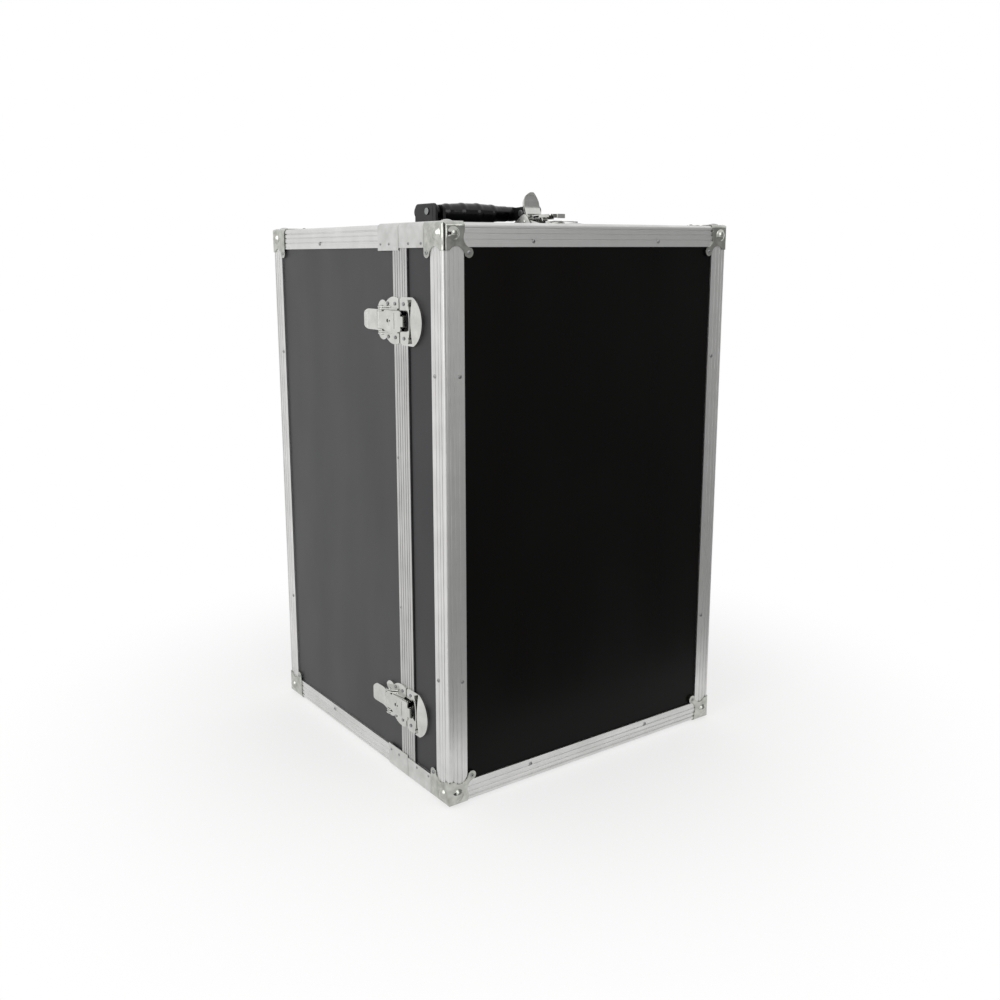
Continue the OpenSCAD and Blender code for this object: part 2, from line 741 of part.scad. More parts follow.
// Moulded bracket: a foot on the panel and two rounded cheeks that hold the pin
module bracket() difference() {
    union() {
        translate([-bracket_l / 2, -bracket_d / 2, -trim_t]) cube([bracket_l, bracket_d, 5]);
        for (s = [-1, 1]) translate([s * (arm_w / 2 + gap + cheek_w / 2) - cheek_w / 2, 0, 0])
            rotate([90, 0, 90]) linear_extrude(cheek_w) {
                translate([0, handle_z - 2]) rounded(24, 20, 5);
                polygon([[-13, 2], [13, 2], [12, handle_z - 5], [-12, handle_z - 5]]);
            }
    }
    translate([-bracket_l, 0, handle_z]) rotate([0, 90, 0])
        cylinder(r = handle_pin_r + fit / 2, h = 2 * bracket_l);
    for (t = [-1, 1]) translate([0, t * (bracket_d / 2 - 5), -inset])
        cylinder(r = shank_r, h = 2 * inset);
}

module handle_brackets() color(black)
    for (s = [-1, 1]) translate([s * bracket_x, handle_y, z1]) bracket();

module handle_pins() color(steel) {
    pin_l = arm_w + 2 * gap + 2 * cheek_w;
    for (s = [-1, 1]) translate([s * bracket_x - pin_l / 2, handle_y, z1 + handle_z])
        rotate([0, 90, 0]) {
            translate([0, 0, -1]) cylinder(r = handle_pin_r, h = pin_l + 2);
            translate([0, 0, -1.2 - fit]) cylinder(r = handle_pin_r + 1.4, h = 1.2);
            translate([0, 0, pin_l + fit]) cylinder(r = handle_pin_r + 1.4, h = 1.2);
        }
}

// Grip folded back flat: a waisted bar with finger waves and two arms to the pins
module handle_grip() color(black) translate([0, handle_y, z1 + handle_z]) difference() {
    bar = bracket_x + arm_w / 2;
    union() {
        translate([-bar, grip_reach, 0]) rotate([0, 90, 0]) rotate_extrude()
            polygon(concat([[0, 0]], [for (i = [0:48]) [grip_half(i / 48), 2 * bar * i / 48]],
                [[0, 2 * bar]]));
        for (s = [-1, 1]) translate([s * bracket_x - arm_w / 2, 0, 0])
            rotate([90, 0, 90]) linear_extrude(arm_w) {
                circle(7.6);
                polygon([[0, -7.6], [grip_reach, -8.6], [grip_reach, 8.6], [0, 7.6]]);
            }
    }
    translate([-case_w / 2, 0, 0]) rotate([0, 90, 0])
        cylinder(r = handle_pin_r + fit / 2, h = case_w);
}

// Radius of the grip along its length, from 0 to 1: thickest in the middle, with four finger
// waves and rounded ends
function grip_half(t) = let(edge = min(t, 1 - t), belly = max(0, 1 - pow((t - 0.5) / 0.3, 2)))
    edge < 0.04 ? grip_r * (0.56 + 0.18 * sin(90 * edge / 0.04))
    : grip_r * (0.74 + 0.24 * belly) - (belly > 0 ? 0.35 * (1 + cos(7.5 * 360 * (t - 0.5))) / 2 : 0);

// ---------- control panel and inner frame ----------

in_x = xw - inset;           // half width inside the walls
in_back = yb - inset;
fascia_y = seam_y + fascia_in;
shelf_top = z0 + shelf_z;
in_top = z1 - inset;
in_floor = z0 + inset;
side_gap = 0.2;              // clearance of the inner plates at the walls
row_a = shelf_top + 0.74 * (in_top - shelf_top);
row_b = shelf_top + 0.45 * (in_top - shelf_top);
rack_z = shelf_top + 0.2 * (in_top - shelf_top);
gauge_x = -0.28 * case_w;
switch_x = 0.3 * case_w;
water_x = -0.05 * case_w;
air_x = 0.1 * case_w;
outlet_xs = [-0.33 * case_w, -0.2 * case_w, -0.07 * case_w];
suction_x = 0.2 * case_w;
rocker_w = 22;
rocker_h = 30;
knob_shaft_r = 3;
knob_skirt = 3;
knob_grip = 11;
valve_proud = 4;             // height of a valve's nut over the panel
bulkhead_y = 42;
flange = 14;                 // width of the folded flanges

// Moves to a point on the control panel, with local +Z pointing out to the front
module on_fascia(x, z) translate([x, fascia_y, z]) rotate([90, 0, 0]) children();

module fascia() color("#d9dcdd") difference() {
    union() {
        box([-in_x + side_gap, fascia_y, shelf_top], [in_x - side_gap, fascia_y + plate_t,
            in_top - side_gap]);
        for (s = [-1, 1]) mirror([s < 0 ? 1 : 0, 0, 0])
            box([in_x - side_gap - plate_t, fascia_y, shelf_top], [in_x - side_gap,
                fascia_y + flange, in_top - side_gap]);
    }
    for (h = fascia_holes()) on_fascia(h[0], h[1]) translate([0, 0, -plate_t - e])
        cylinder(r = h[2], h = plate_t + 2 * e);
    on_fascia(switch_x, row_a) translate([-rocker_w / 2, -rocker_h / 2, -plate_t - e])
        cube([rocker_w, rocker_h, plate_t + 2 * e]);
}

function fascia_holes() = concat(
    [[gauge_x, row_a, gauge_r - 3], [water_x, row_a, 6], [air_x, row_a, 6],
        [suction_x, row_b, suction_r + 2]],
    [for (x = outlet_xs) [x, row_b, outlet_r + 2]]);

module shelf() color("#8d9092") {
    box([-in_x + side_gap, body_y0 + rim_leg, shelf_top - plate_t],
        [in_x - side_gap, in_back - side_gap, shelf_top]);
    for (s = [0, 1]) mirror([s, 0, 0])
        box([in_x - side_gap - plate_t, body_y0 + rim_leg, shelf_top - flange],
            [in_x - side_gap, in_back - side_gap, shelf_top - plate_t]);
    translate([0, 0, -0.1]) tank_saddles();
}

module bulkhead() color("#8d9092") difference() {
    box([-in_x + side_gap + plate_t + side_gap, bulkhead_y, in_floor],
        [in_x - side_gap - plate_t - side_gap, bulkhead_y + plate_t, shelf_top - plate_t]);
    for (x = [-3:3], z = [0:2]) translate([x * 18, bulkhead_y - e, shelf_top - 60 + 12 * z])
        rotate([-90, 0, 0]) cylinder(r = 3.5, h = plate_t + 2 * e, $fn = 24);
}

module gauge_case() color(steel) on_fascia(gauge_x, row_a) rotate_extrude() polygon([
    [0, -22], [gauge_r - 3.5, -22], [gauge_r - 3.5, 0], [gauge_r, 0], [gauge_r, 4],
    [gauge_r - 1.5, 6], [gauge_r - 3.5, 6], [gauge_r - 3.5, 4.6], [gauge_r - 2.6, 4.6],
    [gauge_r - 2.6, 2.9], [gauge_r - 3.5, 2.9], [gauge_r - 3.5, -6], [0, -6]]);

module gauge_dial() color("#f4f4f2") on_fascia(gauge_x, row_a) difference() {
    translate([0, 0, -6]) cylinder(r = gauge_r - 3.6, h = 1.2);
    translate([0, 0, -7]) cylinder(r = 1.6, h = 5);
}

module gauge_lens() color("#dfeef2", 0.4) on_fascia(gauge_x, row_a)
    translate([0, 0, 3]) cylinder(r = gauge_r - 2.7, h = 1.4);

// Needle on its own shaft, which stands clear in the dial's bore
module gauge_needle() color("#c0392b") on_fascia(gauge_x, row_a) {
    translate([0, 0, -5.9]) cylinder(r = 1.5, h = 5);
    translate([0, 0, -2.6]) linear_extrude(0.8) {
        circle(3);
        rotate(45 + 180) polygon([[-6, -1.4], [gauge_r - 8, -0.4], [gauge_r - 8, 0.4], [-6, 1.4]]);
    }
}

module switch_frame() color(black) on_fascia(switch_x, row_a) difference() {
    union() {
        centred(rocker_w + 5, rocker_h + 5, 0, 2.5);
        centred(rocker_w - side_gap, rocker_h - side_gap, -20, 0);
    }
    centred(rocker_w - 4, rocker_h - 4, -9, 11);
    translate([-rocker_w, 0, -1]) rotate([0, 90, 0])
        cylinder(r = trunnion_r + fit / 2, h = 2 * rocker_w);
}

rocker_tilt = 9;             // tilt of the rocker to each side
trunnion_r = 1.5;

// Rocker, pressed at its lower end, with its trunnion through the frame
module power_rocker() color("#b3261e") on_fascia(switch_x, row_a) translate([0, 0, -1])
    rotate([rocker_tilt, 0, 0]) {
        half = rocker_h / 2 - 3;
        side = rocker_w / 2 - 2.5;
        translate([-side, 0, 0]) rotate([90, 0, 90]) linear_extrude(2 * side)
            polygon([[-half, 1], [-half, 3.5], [0, 5.2], [half, 3.5], [half, 1], [0, -3]]);
        translate([-rocker_w / 2 + 0.2, 0, 0]) rotate([0, 90, 0])
            cylinder(r = trunnion_r, h = rocker_w - 0.4);
    }

module valve_body(l) {
    difference() {
        union() {
            translate([0, 0, -plate_t - l]) cylinder(r = 11, h = l);
            translate([0, 0, -plate_t]) cylinder(r = 5.8, h = plate_t + valve_proud);
        }
        translate([0, 0, -20]) cylinder(r = knob_shaft_r + fit / 2, h = 40);
    }
    for (s = [-1, 1]) translate([s * 8, 0, -plate_t - l / 2]) rotate([0, s * 90, 0])
        cylinder(r = 4, h = 10);
}

module valve_bodies() color("#b59a55")
    for (x = [water_x, air_x]) on_fascia(x, row_a) valve_body(26);

// Fluted knob with its spindle: a skirt, a grip with twelve flutes and a chamfered top
module knob() {
    skirt_z = valve_proud + 0.5;
    grip_z = skirt_z + knob_skirt;
    top_z = grip_z + knob_grip;
    translate([0, 0, -18]) cylinder(r = knob_shaft_r, h = 24);
    translate([0, 0, skirt_z]) cylinder(r = knob_r, h = knob_skirt);
    translate([0, 0, grip_z - 0.1]) linear_extrude(knob_grip + 0.1) difference() {
        circle(knob_r - 1.2);
        for (a = [0:30:330]) rotate(a) translate([knob_r, 0]) circle(2.4, $fn = 20);
    }
    difference() {
        translate([0, 0, top_z - 0.1]) cylinder(r1 = knob_r - 2.6, r2 = knob_r - 4, h = 1.6);
        translate([-0.7, 3, top_z + 0.9]) cube([1.4, knob_r, e]);
    }
}

module water_knob() color("#2f6fb3") on_fascia(water_x, row_a) knob();
module air_knob() color("#3c8d4e") on_fascia(air_x, row_a) knob();

nipple_l = 14;               // free length of a handpiece outlet

module outlet(r, l) {
    translate([0, 0, -plate_t - 3]) cylinder(r = r + 5, h = 3);
    translate([0, 0, -plate_t]) cylinder(r = r + 1.9, h = plate_t);
    cylinder(r = r + 4, h = 4, $fn = 6);
    translate([0, 0, 4]) difference() {
        cylinder(r = r, h = l);
        translate([0, 0, -2]) cylinder(r = r - 2, h = l + 4);
    }
    translate([0, 0, -plate_t - 21]) cylinder(r = r - 1, h = 18);
}

module outlets() color(steel) {
    for (x = outlet_xs) on_fascia(x, row_b) outlet(outlet_r, nipple_l);
    on_fascia(suction_x, row_b) outlet(suction_r, nipple_l + 4);
}

rack_d = 62;                 // reach of the handpiece rack in front of the panel
rack_half = 88;

// Moulded rack with four open rests for the handpieces
module handpiece_rack() color("#e8eaea") translate([-0.12 * case_w, fascia_y, rack_z])
    difference() {
        union() {
            box([-rack_half, -rack_d, 0], [rack_half, 0, 7]);
            box([-rack_half, -4, 0], [rack_half, 0, 26]);
            for (s = [-1, 1]) translate([s * (rack_half - 3) - 3, 0, 0]) rotate([90, 0, 90])
                linear_extrude(6) polygon([[-rack_d + 14, 6], [0, 6], [0, 24]]);
        }
        for (i = [0:3]) translate([(i - 1.5) * 40, 0, -e]) {
            translate([0, -rack_d + 22, 0]) cylinder(r = 10, h = 7 + 2 * e);
            translate([-7, -rack_d - e, 0]) cube([14, 22, 7 + 2 * e]);
        }
    }

// ---------- bottles ----------

water_at = [-0.31 * case_w, -50];
waste_at = [0.31 * case_w, -46];
water_top = shelf_top - flange - 24;
neck_r = 19;
cap_h = 22;

module bottle_shell(r, h, neck, neck_l) rotate_extrude() polygon([
    [0, 0], [r - 6, 0], [r - 1.5, 1.5], [r, 6], [r, h - 22], [r - 4, h - 13], [neck + 3, h - 2],
    [neck, h], [neck, h + neck_l], [neck - bottle_t, h + neck_l], [neck - bottle_t, h - 1],
    [neck + 1.5, h - 4], [r - 5.5, h - 15], [r - bottle_t, h - 23], [r - bottle_t, 6.5],
    [r - bottle_t - 1.2, 3.2], [r - 7, bottle_t], [0, bottle_t]]);

module water_bottle() color("#cfe3ea", 0.6)
    translate([water_at[0], water_at[1], water_top - water_h])
        bottle_shell(water_r, water_h, neck_r, 16);

// Cap fixed under the shelf: the bottle screws up into it, and two barbs take the tubes
module bottle_cap() color("#3f6f9e") translate([water_at[0], water_at[1], water_top])
    difference() {
        union() {
            translate([0, 0, 1]) cylinder(r = neck_r + 4, h = cap_h);
            centred(32, 32, 1 + cap_h, shelf_top - plate_t - water_top);
        }
        translate([0, 0, -e]) cylinder(r = neck_r + fit, h = 18 + e);
        for (a = [0:20:340]) rotate(a) translate([neck_r + 4.4, 0, -e])
            cylinder(r = 1, h = cap_h - 2, $fn = 16);
    }

module waste_bottle() color("#d8e4e2", 0.6)
    translate([waste_at[0], waste_at[1], in_floor]) bottle_shell(waste_r, waste_h, 30, 14);

module waste_cap() color("#d7d9da")
    translate([waste_at[0], waste_at[1], in_floor + waste_h + 2]) {
        difference() {
            cylinder(r = 34, h = 18);
            translate([0, 0, -e]) cylinder(r = 30 + fit, h = 12 + e);
            for (a = [0:15:345]) rotate(a) translate([34.6, 0, -e]) cylinder(r = 1.2, h = 16, $fn = 16);
        }
        for (s = [-1, 1]) translate([s * 13, 0, 18]) {
            cylinder(r = 5, h = 16);
            translate([0, 0, 6]) cylinder(r = 6, h = 2);
        }
    }

// ---------- foot control, stowed on the bay's floor ----------

pedal_at = [0, -36];

module pedal_base() color("#55585b") translate([pedal_at[0], pedal_at[1], in_floor]) {
    difference() {
        linear_extrude(9) rounded(pedal_w, pedal_l, 14);
        translate([0, 0, 5]) linear_extrude(9) rounded(pedal_w - 10, pedal_l - 10, 10);
    }
    translate([0, 0, 4.9]) difference() {
        cylinder(r = pedal_w / 2 - 20, h = 16);
        translate([0, 0, 1]) cylinder(r = pedal_stem_r + 6, h = 16);
    }
    translate([0, 0, 4.9]) difference() {
        cylinder(r = pedal_stem_r + 3, h = 10);
        translate([0, 0, 1]) cylinder(r = pedal_stem_r + fit, h = 10);
    }
}

pedal_stem_r = 8;
pedal_travel = 4;

// Round foot plate on a stem that slides in the base
module pedal_plate() color("#2c2e30") translate([pedal_at[0], pedal_at[1], in_floor]) {
    translate([0, 0, 6 + pedal_travel]) cylinder(r = pedal_stem_r, h = 18);
    translate([0, 0, 4.9 + 16 + pedal_travel + gap]) rotate_extrude()
        polygon([[0, 0], [36, 0], [40, 3], [40, 6], [34, 11], [0, 13]]);
}

// ---------- compressor ----------

comp_at = [-70, 116];        // middle of the motor, as x and y
comp_z = in_floor + 16 + motor_r;

module compressor_motor() color("#2d3338") {
    translate([comp_at[0] - motor_l / 2, comp_at[1], comp_z]) rotate([0, 90, 0]) {
        cylinder(r = motor_r - 4, h = motor_l);
        cylinder(r = motor_r, h = 14);
        translate([0, 0, motor_l - 14]) cylinder(r = motor_r, h = 14);
        for (k = [1:9]) translate([0, 0, 14 + k * (motor_l - 28) / 10 - 1])
            cylinder(r = motor_r - 1, h = 2);
    }
    for (s = [-1, 1]) translate([comp_at[0] + s * (motor_l / 2 - 12) - 9, comp_at[1] - 40, in_floor + 12])
        cube([18, 80, 4 + motor_r - sqrt(motor_r * motor_r - 1600) + 4]);
}

// Twin finned cylinder heads above the motor
module compressor_head() color("#9ea3a6")
    for (s = [-1, 1]) translate([comp_at[0] + s * 34, comp_at[1], comp_z + motor_r - 3]) {
        difference() {
            cylinder(r = 20, h = 44);
            translate([-s * 34, 0, 3 - motor_r]) rotate([0, 90, 0])
                cylinder(r = motor_r, h = 200, center = true);
        }
        for (k = [1:6]) translate([0, 0, 5 + 6 * k]) cylinder(r = 27, h = 2);
        translate([0, 0, 43]) cylinder(r = 23, h = 9);
        translate([0, 0, 52]) cylinder(r = 6, h = 8, $fn = 6);
    }

module compressor_mounts() color("#1c1c1c")
    for (s = [-1, 1], t = [-1, 1])
        translate([comp_at[0] + s * (motor_l / 2 - 12), comp_at[1] + t * 31, in_floor])
            rotate_extrude() polygon([[0, 0], [9, 0], [9, 3], [7, 6], [9, 9], [9, 12], [0, 12]]);

tank_at = [0, 120, shelf_top + 62];

module air_tank() color("#e4e6e7") translate([-tank_l / 2, tank_at[1], tank_at[2]]) rotate([0, 90, 0])
    rotate_extrude() polygon(concat(
        [[0, 0]], [for (a = [0:15:90]) [tank_r * sin(a), 24 * (1 - cos(a))]],
        [for (a = [90:-15:0]) [tank_r * sin(a), tank_l - 24 * (1 - cos(a))]], [[0, tank_l]]));

// Cradles welded to the shelf under the tank
module tank_saddles()
    for (s = [-1, 1]) translate([s * 85 - 10, tank_at[1], shelf_top]) difference() {
        translate([0, -45, 0]) cube([20, 90, 34]);
        translate([-e, 0, tank_at[2] - shelf_top]) rotate([0, 90, 0]) cylinder(r = tank_r + fit, h = 22);
    }

// ---------- back of the case ----------

module power_inlet() color(black) translate([inlet_at[0], yb - trim_t, inlet_at[1]]) difference() {
    union() {
        box([-inlet_w / 2 - 5, 0, -inlet_h / 2 - 5], [inlet_w / 2 + 5, 2, inlet_h / 2 + 5]);
        box([-inlet_w / 2 + 0.3, -28, -inlet_h / 2 + 0.3], [inlet_w / 2 - 0.3, 0, inlet_h / 2 - 0.3]);
    }
    box([-14, -14, -2], [14, 3, 18]);
    box([-13, -3, -22], [13, 3, -10]);
}

module fan_frame() color(black) translate([fan_at[0], yb - inset, fan_at[1]]) rotate([90, 0, 0])
    difference() {
        linear_extrude(25) rounded(fan_w, fan_w, 4);
        translate([0, 0, -e]) cylinder(r = fan_bore, h = 22 + e);
        difference() {
            translate([0, 0, 21]) cylinder(r = fan_bore, h = 6);
            translate([0, 0, 20]) cylinder(r = 14, h = 8);
            for (a = [0:90:270]) rotate(a) translate([0, -2, 20]) cube([fan_bore + 1, 4, 8]);
        }
    }

// Seven-bladed rotor: each blade is a straight vane set at an angle
module fan_rotor() color("#26282b") translate([fan_at[0], yb - inset, fan_at[1]])
    rotate([90, 0, 0]) {
        translate([0, 0, 3]) cylinder(r = 12, h = 17.6);
        for (a = [0:360 / 7:359]) rotate(a) intersection() {
            translate([10, -1, 11]) rotate([38, 0, 0])
                box([0, -11, -0.9], [fan_bore - 12, 11, 0.9]);
            translate([0, 0, 3.2]) cylinder(r = fan_bore - 1, h = 17);
        }
    }

// Round guard over the fan's opening: rings joined by four bars, in one square plate
module fan_guard() color(steel) translate([fan_at[0], yb - trim_t, fan_at[1]]) rotate([-90, 0, 0])
    difference() {
        linear_extrude(1.6) rounded(fan_w + 8, fan_w + 8, 5);
        difference() {
            translate([0, 0, -e]) cylinder(r = fan_bore - 1, h = 4);
            for (r = [8, 16, 24]) difference() {
                translate([0, 0, -2 * e]) cylinder(r = r, h = 6);
                translate([0, 0, -3 * e]) cylinder(r = r - 2, h = 8);
            }
            for (a = [45:90:315]) rotate(a) translate([0, -1, -2 * e]) cube([fan_bore, 2, 6]);
        }
    }

// ---------- cover ----------

module cover_panel() color(black) difference() {
    box([-wall_x, -wall_y, z0 + trim_t], [wall_x, inset - yb, z1 - trim_t]);
    rivet_bores(cover_points);
}

joint_gap = 0.05;            // glue line between two boards

module cover_boards() color(black) difference() {
    union() {
        for (s = [0, 1]) {
            mirror([s, 0, 0]) box([-wall_x, inset - yb, z0 + inset + joint_gap],
                [-wall_x + panel_t, cover_y1, z1 - inset - joint_gap]);
            translate([0, 0, s * 2 * zm]) mirror([0, 0, s])
                box([-wall_x, inset - yb, z0 + trim_t], [wall_x, cover_y1, z0 + inset]);
        }
    }
    rivet_bores(cover_points);
}

left_wall();
right_wall();
top_wall();
bottom_wall();
back_wall();
body_trims();
body_rim();
body_corners();
body_braces();
body_rivets();
hinge_body_leaves();
hinge_pins();
latch_bases();
handle_brackets();
handle_pins();
fascia();
shelf();
bulkhead();
gauge_case();
gauge_dial();
gauge_lens();
switch_frame();
valve_bodies();
outlets();
handpiece_rack();
bottle_cap();
waste_bottle();
waste_cap();
pedal_base();
pedal_plate();
compressor_motor();
compressor_head();
compressor_mounts();
air_tank();
power_inlet();
fan_frame();
fan_guard();
cover_panel();
cover_boards();
cover_trims();
cover_rim();
cover_seal();
cover_corners();
cover_braces();
cover_rivets();
hinge_cover_leaves();
latch_keepers();
upper_lever();
lower_lever();
top_lever();
upper_hook();
lower_hook();
top_hook();
handle_grip();
gauge_needle();
power_rocker();
water_knob();
air_knob();
water_bottle();
fan_rotor();
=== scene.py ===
"""Portable dental unit in an aluminium-edged flight case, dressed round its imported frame."""
import math

import bmesh
import bpy
from mathutils import Matrix, Vector


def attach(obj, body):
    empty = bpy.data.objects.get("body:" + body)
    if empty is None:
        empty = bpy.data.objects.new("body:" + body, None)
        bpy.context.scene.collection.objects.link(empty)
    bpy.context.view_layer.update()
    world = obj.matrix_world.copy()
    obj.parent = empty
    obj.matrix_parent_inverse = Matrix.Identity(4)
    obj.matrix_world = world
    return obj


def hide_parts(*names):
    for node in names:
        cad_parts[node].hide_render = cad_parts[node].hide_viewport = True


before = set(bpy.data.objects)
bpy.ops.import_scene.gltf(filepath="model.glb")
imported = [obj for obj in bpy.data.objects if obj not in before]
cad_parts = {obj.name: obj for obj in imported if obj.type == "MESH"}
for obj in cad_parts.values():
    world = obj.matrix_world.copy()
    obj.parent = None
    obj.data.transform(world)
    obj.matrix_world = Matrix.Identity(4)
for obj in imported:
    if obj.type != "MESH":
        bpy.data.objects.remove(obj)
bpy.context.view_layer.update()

bl_info = {
    "name": "Portable dental unit",
    "version": (1, 0, 0),
    "blender": (4, 5, 0),
    "location": "3D View > Sidebar > Dental unit",
    "description": "Builds the finishes and fine pieces of a portable dental unit in a flight case",
    "category": "Object",
}

MM = 0.001
Z0 = 2.6                    # underside of the case over the floor, in mm as every length below
CASE_W, CASE_D, CASE_H = 415.0, 406.0, 640.0
XW, YB, Z1 = CASE_W / 2, CASE_D / 2, Z0 + CASE_H
ZM = (Z0 + Z1) / 2
SEAM_Y = 86.0 - YB
FASCIA_Y = -85.0
ROW_A, ROW_B = 547.54, 451.55
LATCH_Z = (Z0 + 537.0, Z0 + 88.0)
HINGE_Z = (Z0 + 0.17 * CASE_H, ZM, Z1 - 0.17 * CASE_H)
PIVOT_Y, PIVOT_Z, TOP_LIFT = 30.0, 5.4, 76.0
CRANK = 6.0
CAP_T, DOME_AT = 1.2, 11.5
CAP_ROLL = 3.2              # radius that the press leaves on a cap's outer edges
BRACE_REACH = 46            # rivets closer to the seam than this are small
WEB_Y, TONGUE_Y, CURL_Y, TIP_Y = 9.3, 20, 25, 35   # along a lever, from its pivot
BRACKET_X, GRIP_Y, GRIP_Z = 73, 52, 20             # the handle, folded; Z over the case
RACK_X, RACK_Z = -49.8, 386
GAUGE_X, SWITCH_X, WATER_X, AIR_X, SUCTION_X = -116.2, 124.5, -20.75, 41.5, 83.0
OUTLET_X = (-136.95, -83.0, -29.05)
WATER_BOTTLE, WATER_R = (-128.65, -50, 0), 38
WASTE_BOTTLE, WASTE_R = (128.65, -46, 0), 50
PEDAL_AT = (0, -36, 0)
INLET_AT, FAN_AT = (-120, 72.6), (110, 92.6)


# ---------- colours and shader nodes ----------

def linear(code):
    """sRGB hex code to the linear colour that Blender works in."""
    parts = [int(code[i:i + 2], 16) / 255 for i in (1, 3, 5)]
    return (*(p / 12.92 if p <= 0.04045 else ((p + 0.055) / 1.055) ** 2.4 for p in parts), 1.0)


def shade(code, factor, lift=0.0):
    """A hex colour made darker or paler, as a linear colour."""
    return (*(min(1, part * factor + lift) for part in linear(code)[:3]), 1.0)


def add(tree, kind, wires=None, **settings):
    """Adds a shader node; wires maps each input to a constant or to a (node, output) pair."""
    node = tree.nodes.new("ShaderNode" + kind)
    for key, value in settings.items():
        setattr(node, key, value)
    for socket, value in (wires or {}).items():
        if isinstance(value, tuple) and isinstance(value[0], bpy.types.Node):
            tree.links.new(value[0].outputs[value[1]], node.inputs[socket])
        else:
            node.inputs[socket].default_value = value
    return node


class Finish:
    """A material under construction: its node tree and its one Principled shader."""

    def __init__(self, name, **constants):
        self.material = bpy.data.materials.new(name)
        self.material.use_nodes = True
        self.tree = self.material.node_tree
        self.shader = self.tree.nodes["Principled BSDF"]
        for socket, value in constants.items():
            self.shader.inputs[socket.replace("_", " ")].default_value = value

    def add(self, kind, wires=None, **settings):
        return add(self.tree, kind, wires, **settings)

    def wire(self, socket, node, output):
        self.tree.links.new(node.outputs[output], self.shader.inputs[socket])

    def object_noise(self, size_mm, detail=3.0, roughness=0.5, stretch=(1, 1, 1), distortion=0.0):
        """Noise on Object coordinates whose lumps are size_mm across."""
        place = self.add("TexCoord")
        turn = self.add("Mapping", {"Vector": (place, "Object"), "Scale": stretch})
        return self.add("TexNoise", {"Vector": (turn, "Vector"), "Scale": 1000 / size_mm,
                                     "Detail": detail, "Roughness": roughness,
                                     "Distortion": distortion})

    def run_noise(self, along_mm, across_mm, detail=2.0):
        """Noise drawn out along the piece's own run, read from its UV map."""
        place = self.add("UVMap", uv_map="run")
        turn = self.add("Mapping", {"Vector": (place, "UV"),
                                    "Scale": (1000 / along_mm, 1000 / across_mm, 1)})
        return self.add("TexNoise", {"Vector": (turn, "Vector"), "Scale": 1.0, "Detail": detail})

    def product(self, first, second):
        return self.add("Math", {0: (first, "Fac"), 1: (second, "Fac")}, operation="MULTIPLY")

    def span(self, node, output, low, high, from_low=0.3, from_high=0.7):
        return self.add("MapRange", {"Value": (node, output), "From Min": from_low,
                                     "From Max": from_high, "To Min": low, "To Max": high})

    def blend(self, factor, *colours):
        """Mixes two colours, hex or linear, into the base colour."""
        first, second = (linear(c) if isinstance(c, str) else c for c in colours)
        mix = self.add("Mix", {0: factor, 6: first, 7: second}, data_type="RGBA")
        self.wire("Base Color", mix, 2)

    def mottle(self, noise, *colours):
        """Lets the base colour wander between two colours."""
        self.blend((self.span(noise, "Fac", 0, 1), "Result"), *colours)

    def gloss(self, noise, low, high):
        """Lets the roughness wander between two values."""
        self.wire("Roughness", self.span(noise, "Fac", low, high), "Result")

    def bump(self, noise, depth_mm, strength=1.0):
        relief = self.add("Bump", {"Height": (noise, "Fac"), "Distance": depth_mm * MM,
                                   "Strength": strength})
        self.wire("Normal", relief, "Normal")


def black_laminate(name, colour, pale, roughness, specular):
    """Phenolic laminate pressed on plywood, satin black: a fine pebble from the press plate and
    faint wiping marks that only change its gloss."""
    make = Finish(name, Roughness=roughness, Specular_IOR_Level=specular)
    make.mottle(make.object_noise(160, detail=4), colour, pale)
    wipe = make.object_noise(70, detail=5, stretch=(1, 1, 0.3))
    make.gloss(wipe, roughness - 0.05, roughness + 0.07)
    make.bump(make.object_noise(0.9, detail=2), 0.02, 0.5)
    return make.material


def extruded_aluminium(name, colour="#dededd", dull="#cdcdcb"):
    """Extruded 6063 aluminium, clear anodised: drawing lines along the run, about 0.7 mm apart
    here so that they show, and a slightly uneven satin."""
    make = Finish(name, Metallic=1.0)
    lines = make.run_noise(180, 0.7)
    tint = make.product(lines, make.object_noise(35, detail=4))
    make.blend((make.span(tint, "Value", 1, 0, 0.15, 0.4), "Result"), colour, dull)
    make.wire("Roughness", make.span(tint, "Value", 0.46, 0.3, 0.12, 0.4), "Result")
    make.bump(lines, 0.012, 0.5)
    return make.material


def nickel_plate(name, colour="#d3d3d0", dull="#c2c2be", gloss=0.11):
    """Stamped steel with bright nickel plating: slight ripple from the press, a haze of handling
    marks and fine scratches in all directions."""
    make = Finish(name, Metallic=1.0)
    haze = make.object_noise(14, detail=3, roughness=0.5)
    scratch = make.object_noise(0.8, detail=1, stretch=(1, 0.08, 0.5), distortion=1.5)
    both = make.product(haze, scratch)
    make.mottle(haze, colour, dull)
    make.wire("Roughness", make.span(both, "Value", gloss, gloss + 0.09, 0.15, 0.4), "Result")
    make.bump(make.object_noise(11, detail=1), 0.12, 0.5)
    return make.material


def moulded_plastic(name, colour, roughness=0.4, grain_mm=0.6, depth_mm=0.015, specular=0.5):
    """Injection-moulded ABS or polypropylene with a spark-eroded texture."""
    make = Finish(name, Specular_IOR_Level=specular)
    cloud = make.object_noise(25, detail=3)
    make.mottle(cloud, colour, shade(colour, 0.86))
    make.gloss(cloud, roughness - 0.05, roughness + 0.05)
    make.bump(make.object_noise(grain_mm, detail=2), depth_mm, 0.6)
    return make.material


def powder_coat(name, colour, roughness=0.45, peel_mm=1.6):
    """Polyester powder coat on sheet steel: an orange peel of small soft lumps."""
    make = Finish(name)
    cloud = make.object_noise(60, detail=3)
    make.mottle(cloud, colour, shade(colour, 0.92))
    make.gloss(cloud, roughness - 0.04, roughness + 0.06)
    make.bump(make.object_noise(peel_mm, detail=1), 0.03, 0.5)
    return make.material


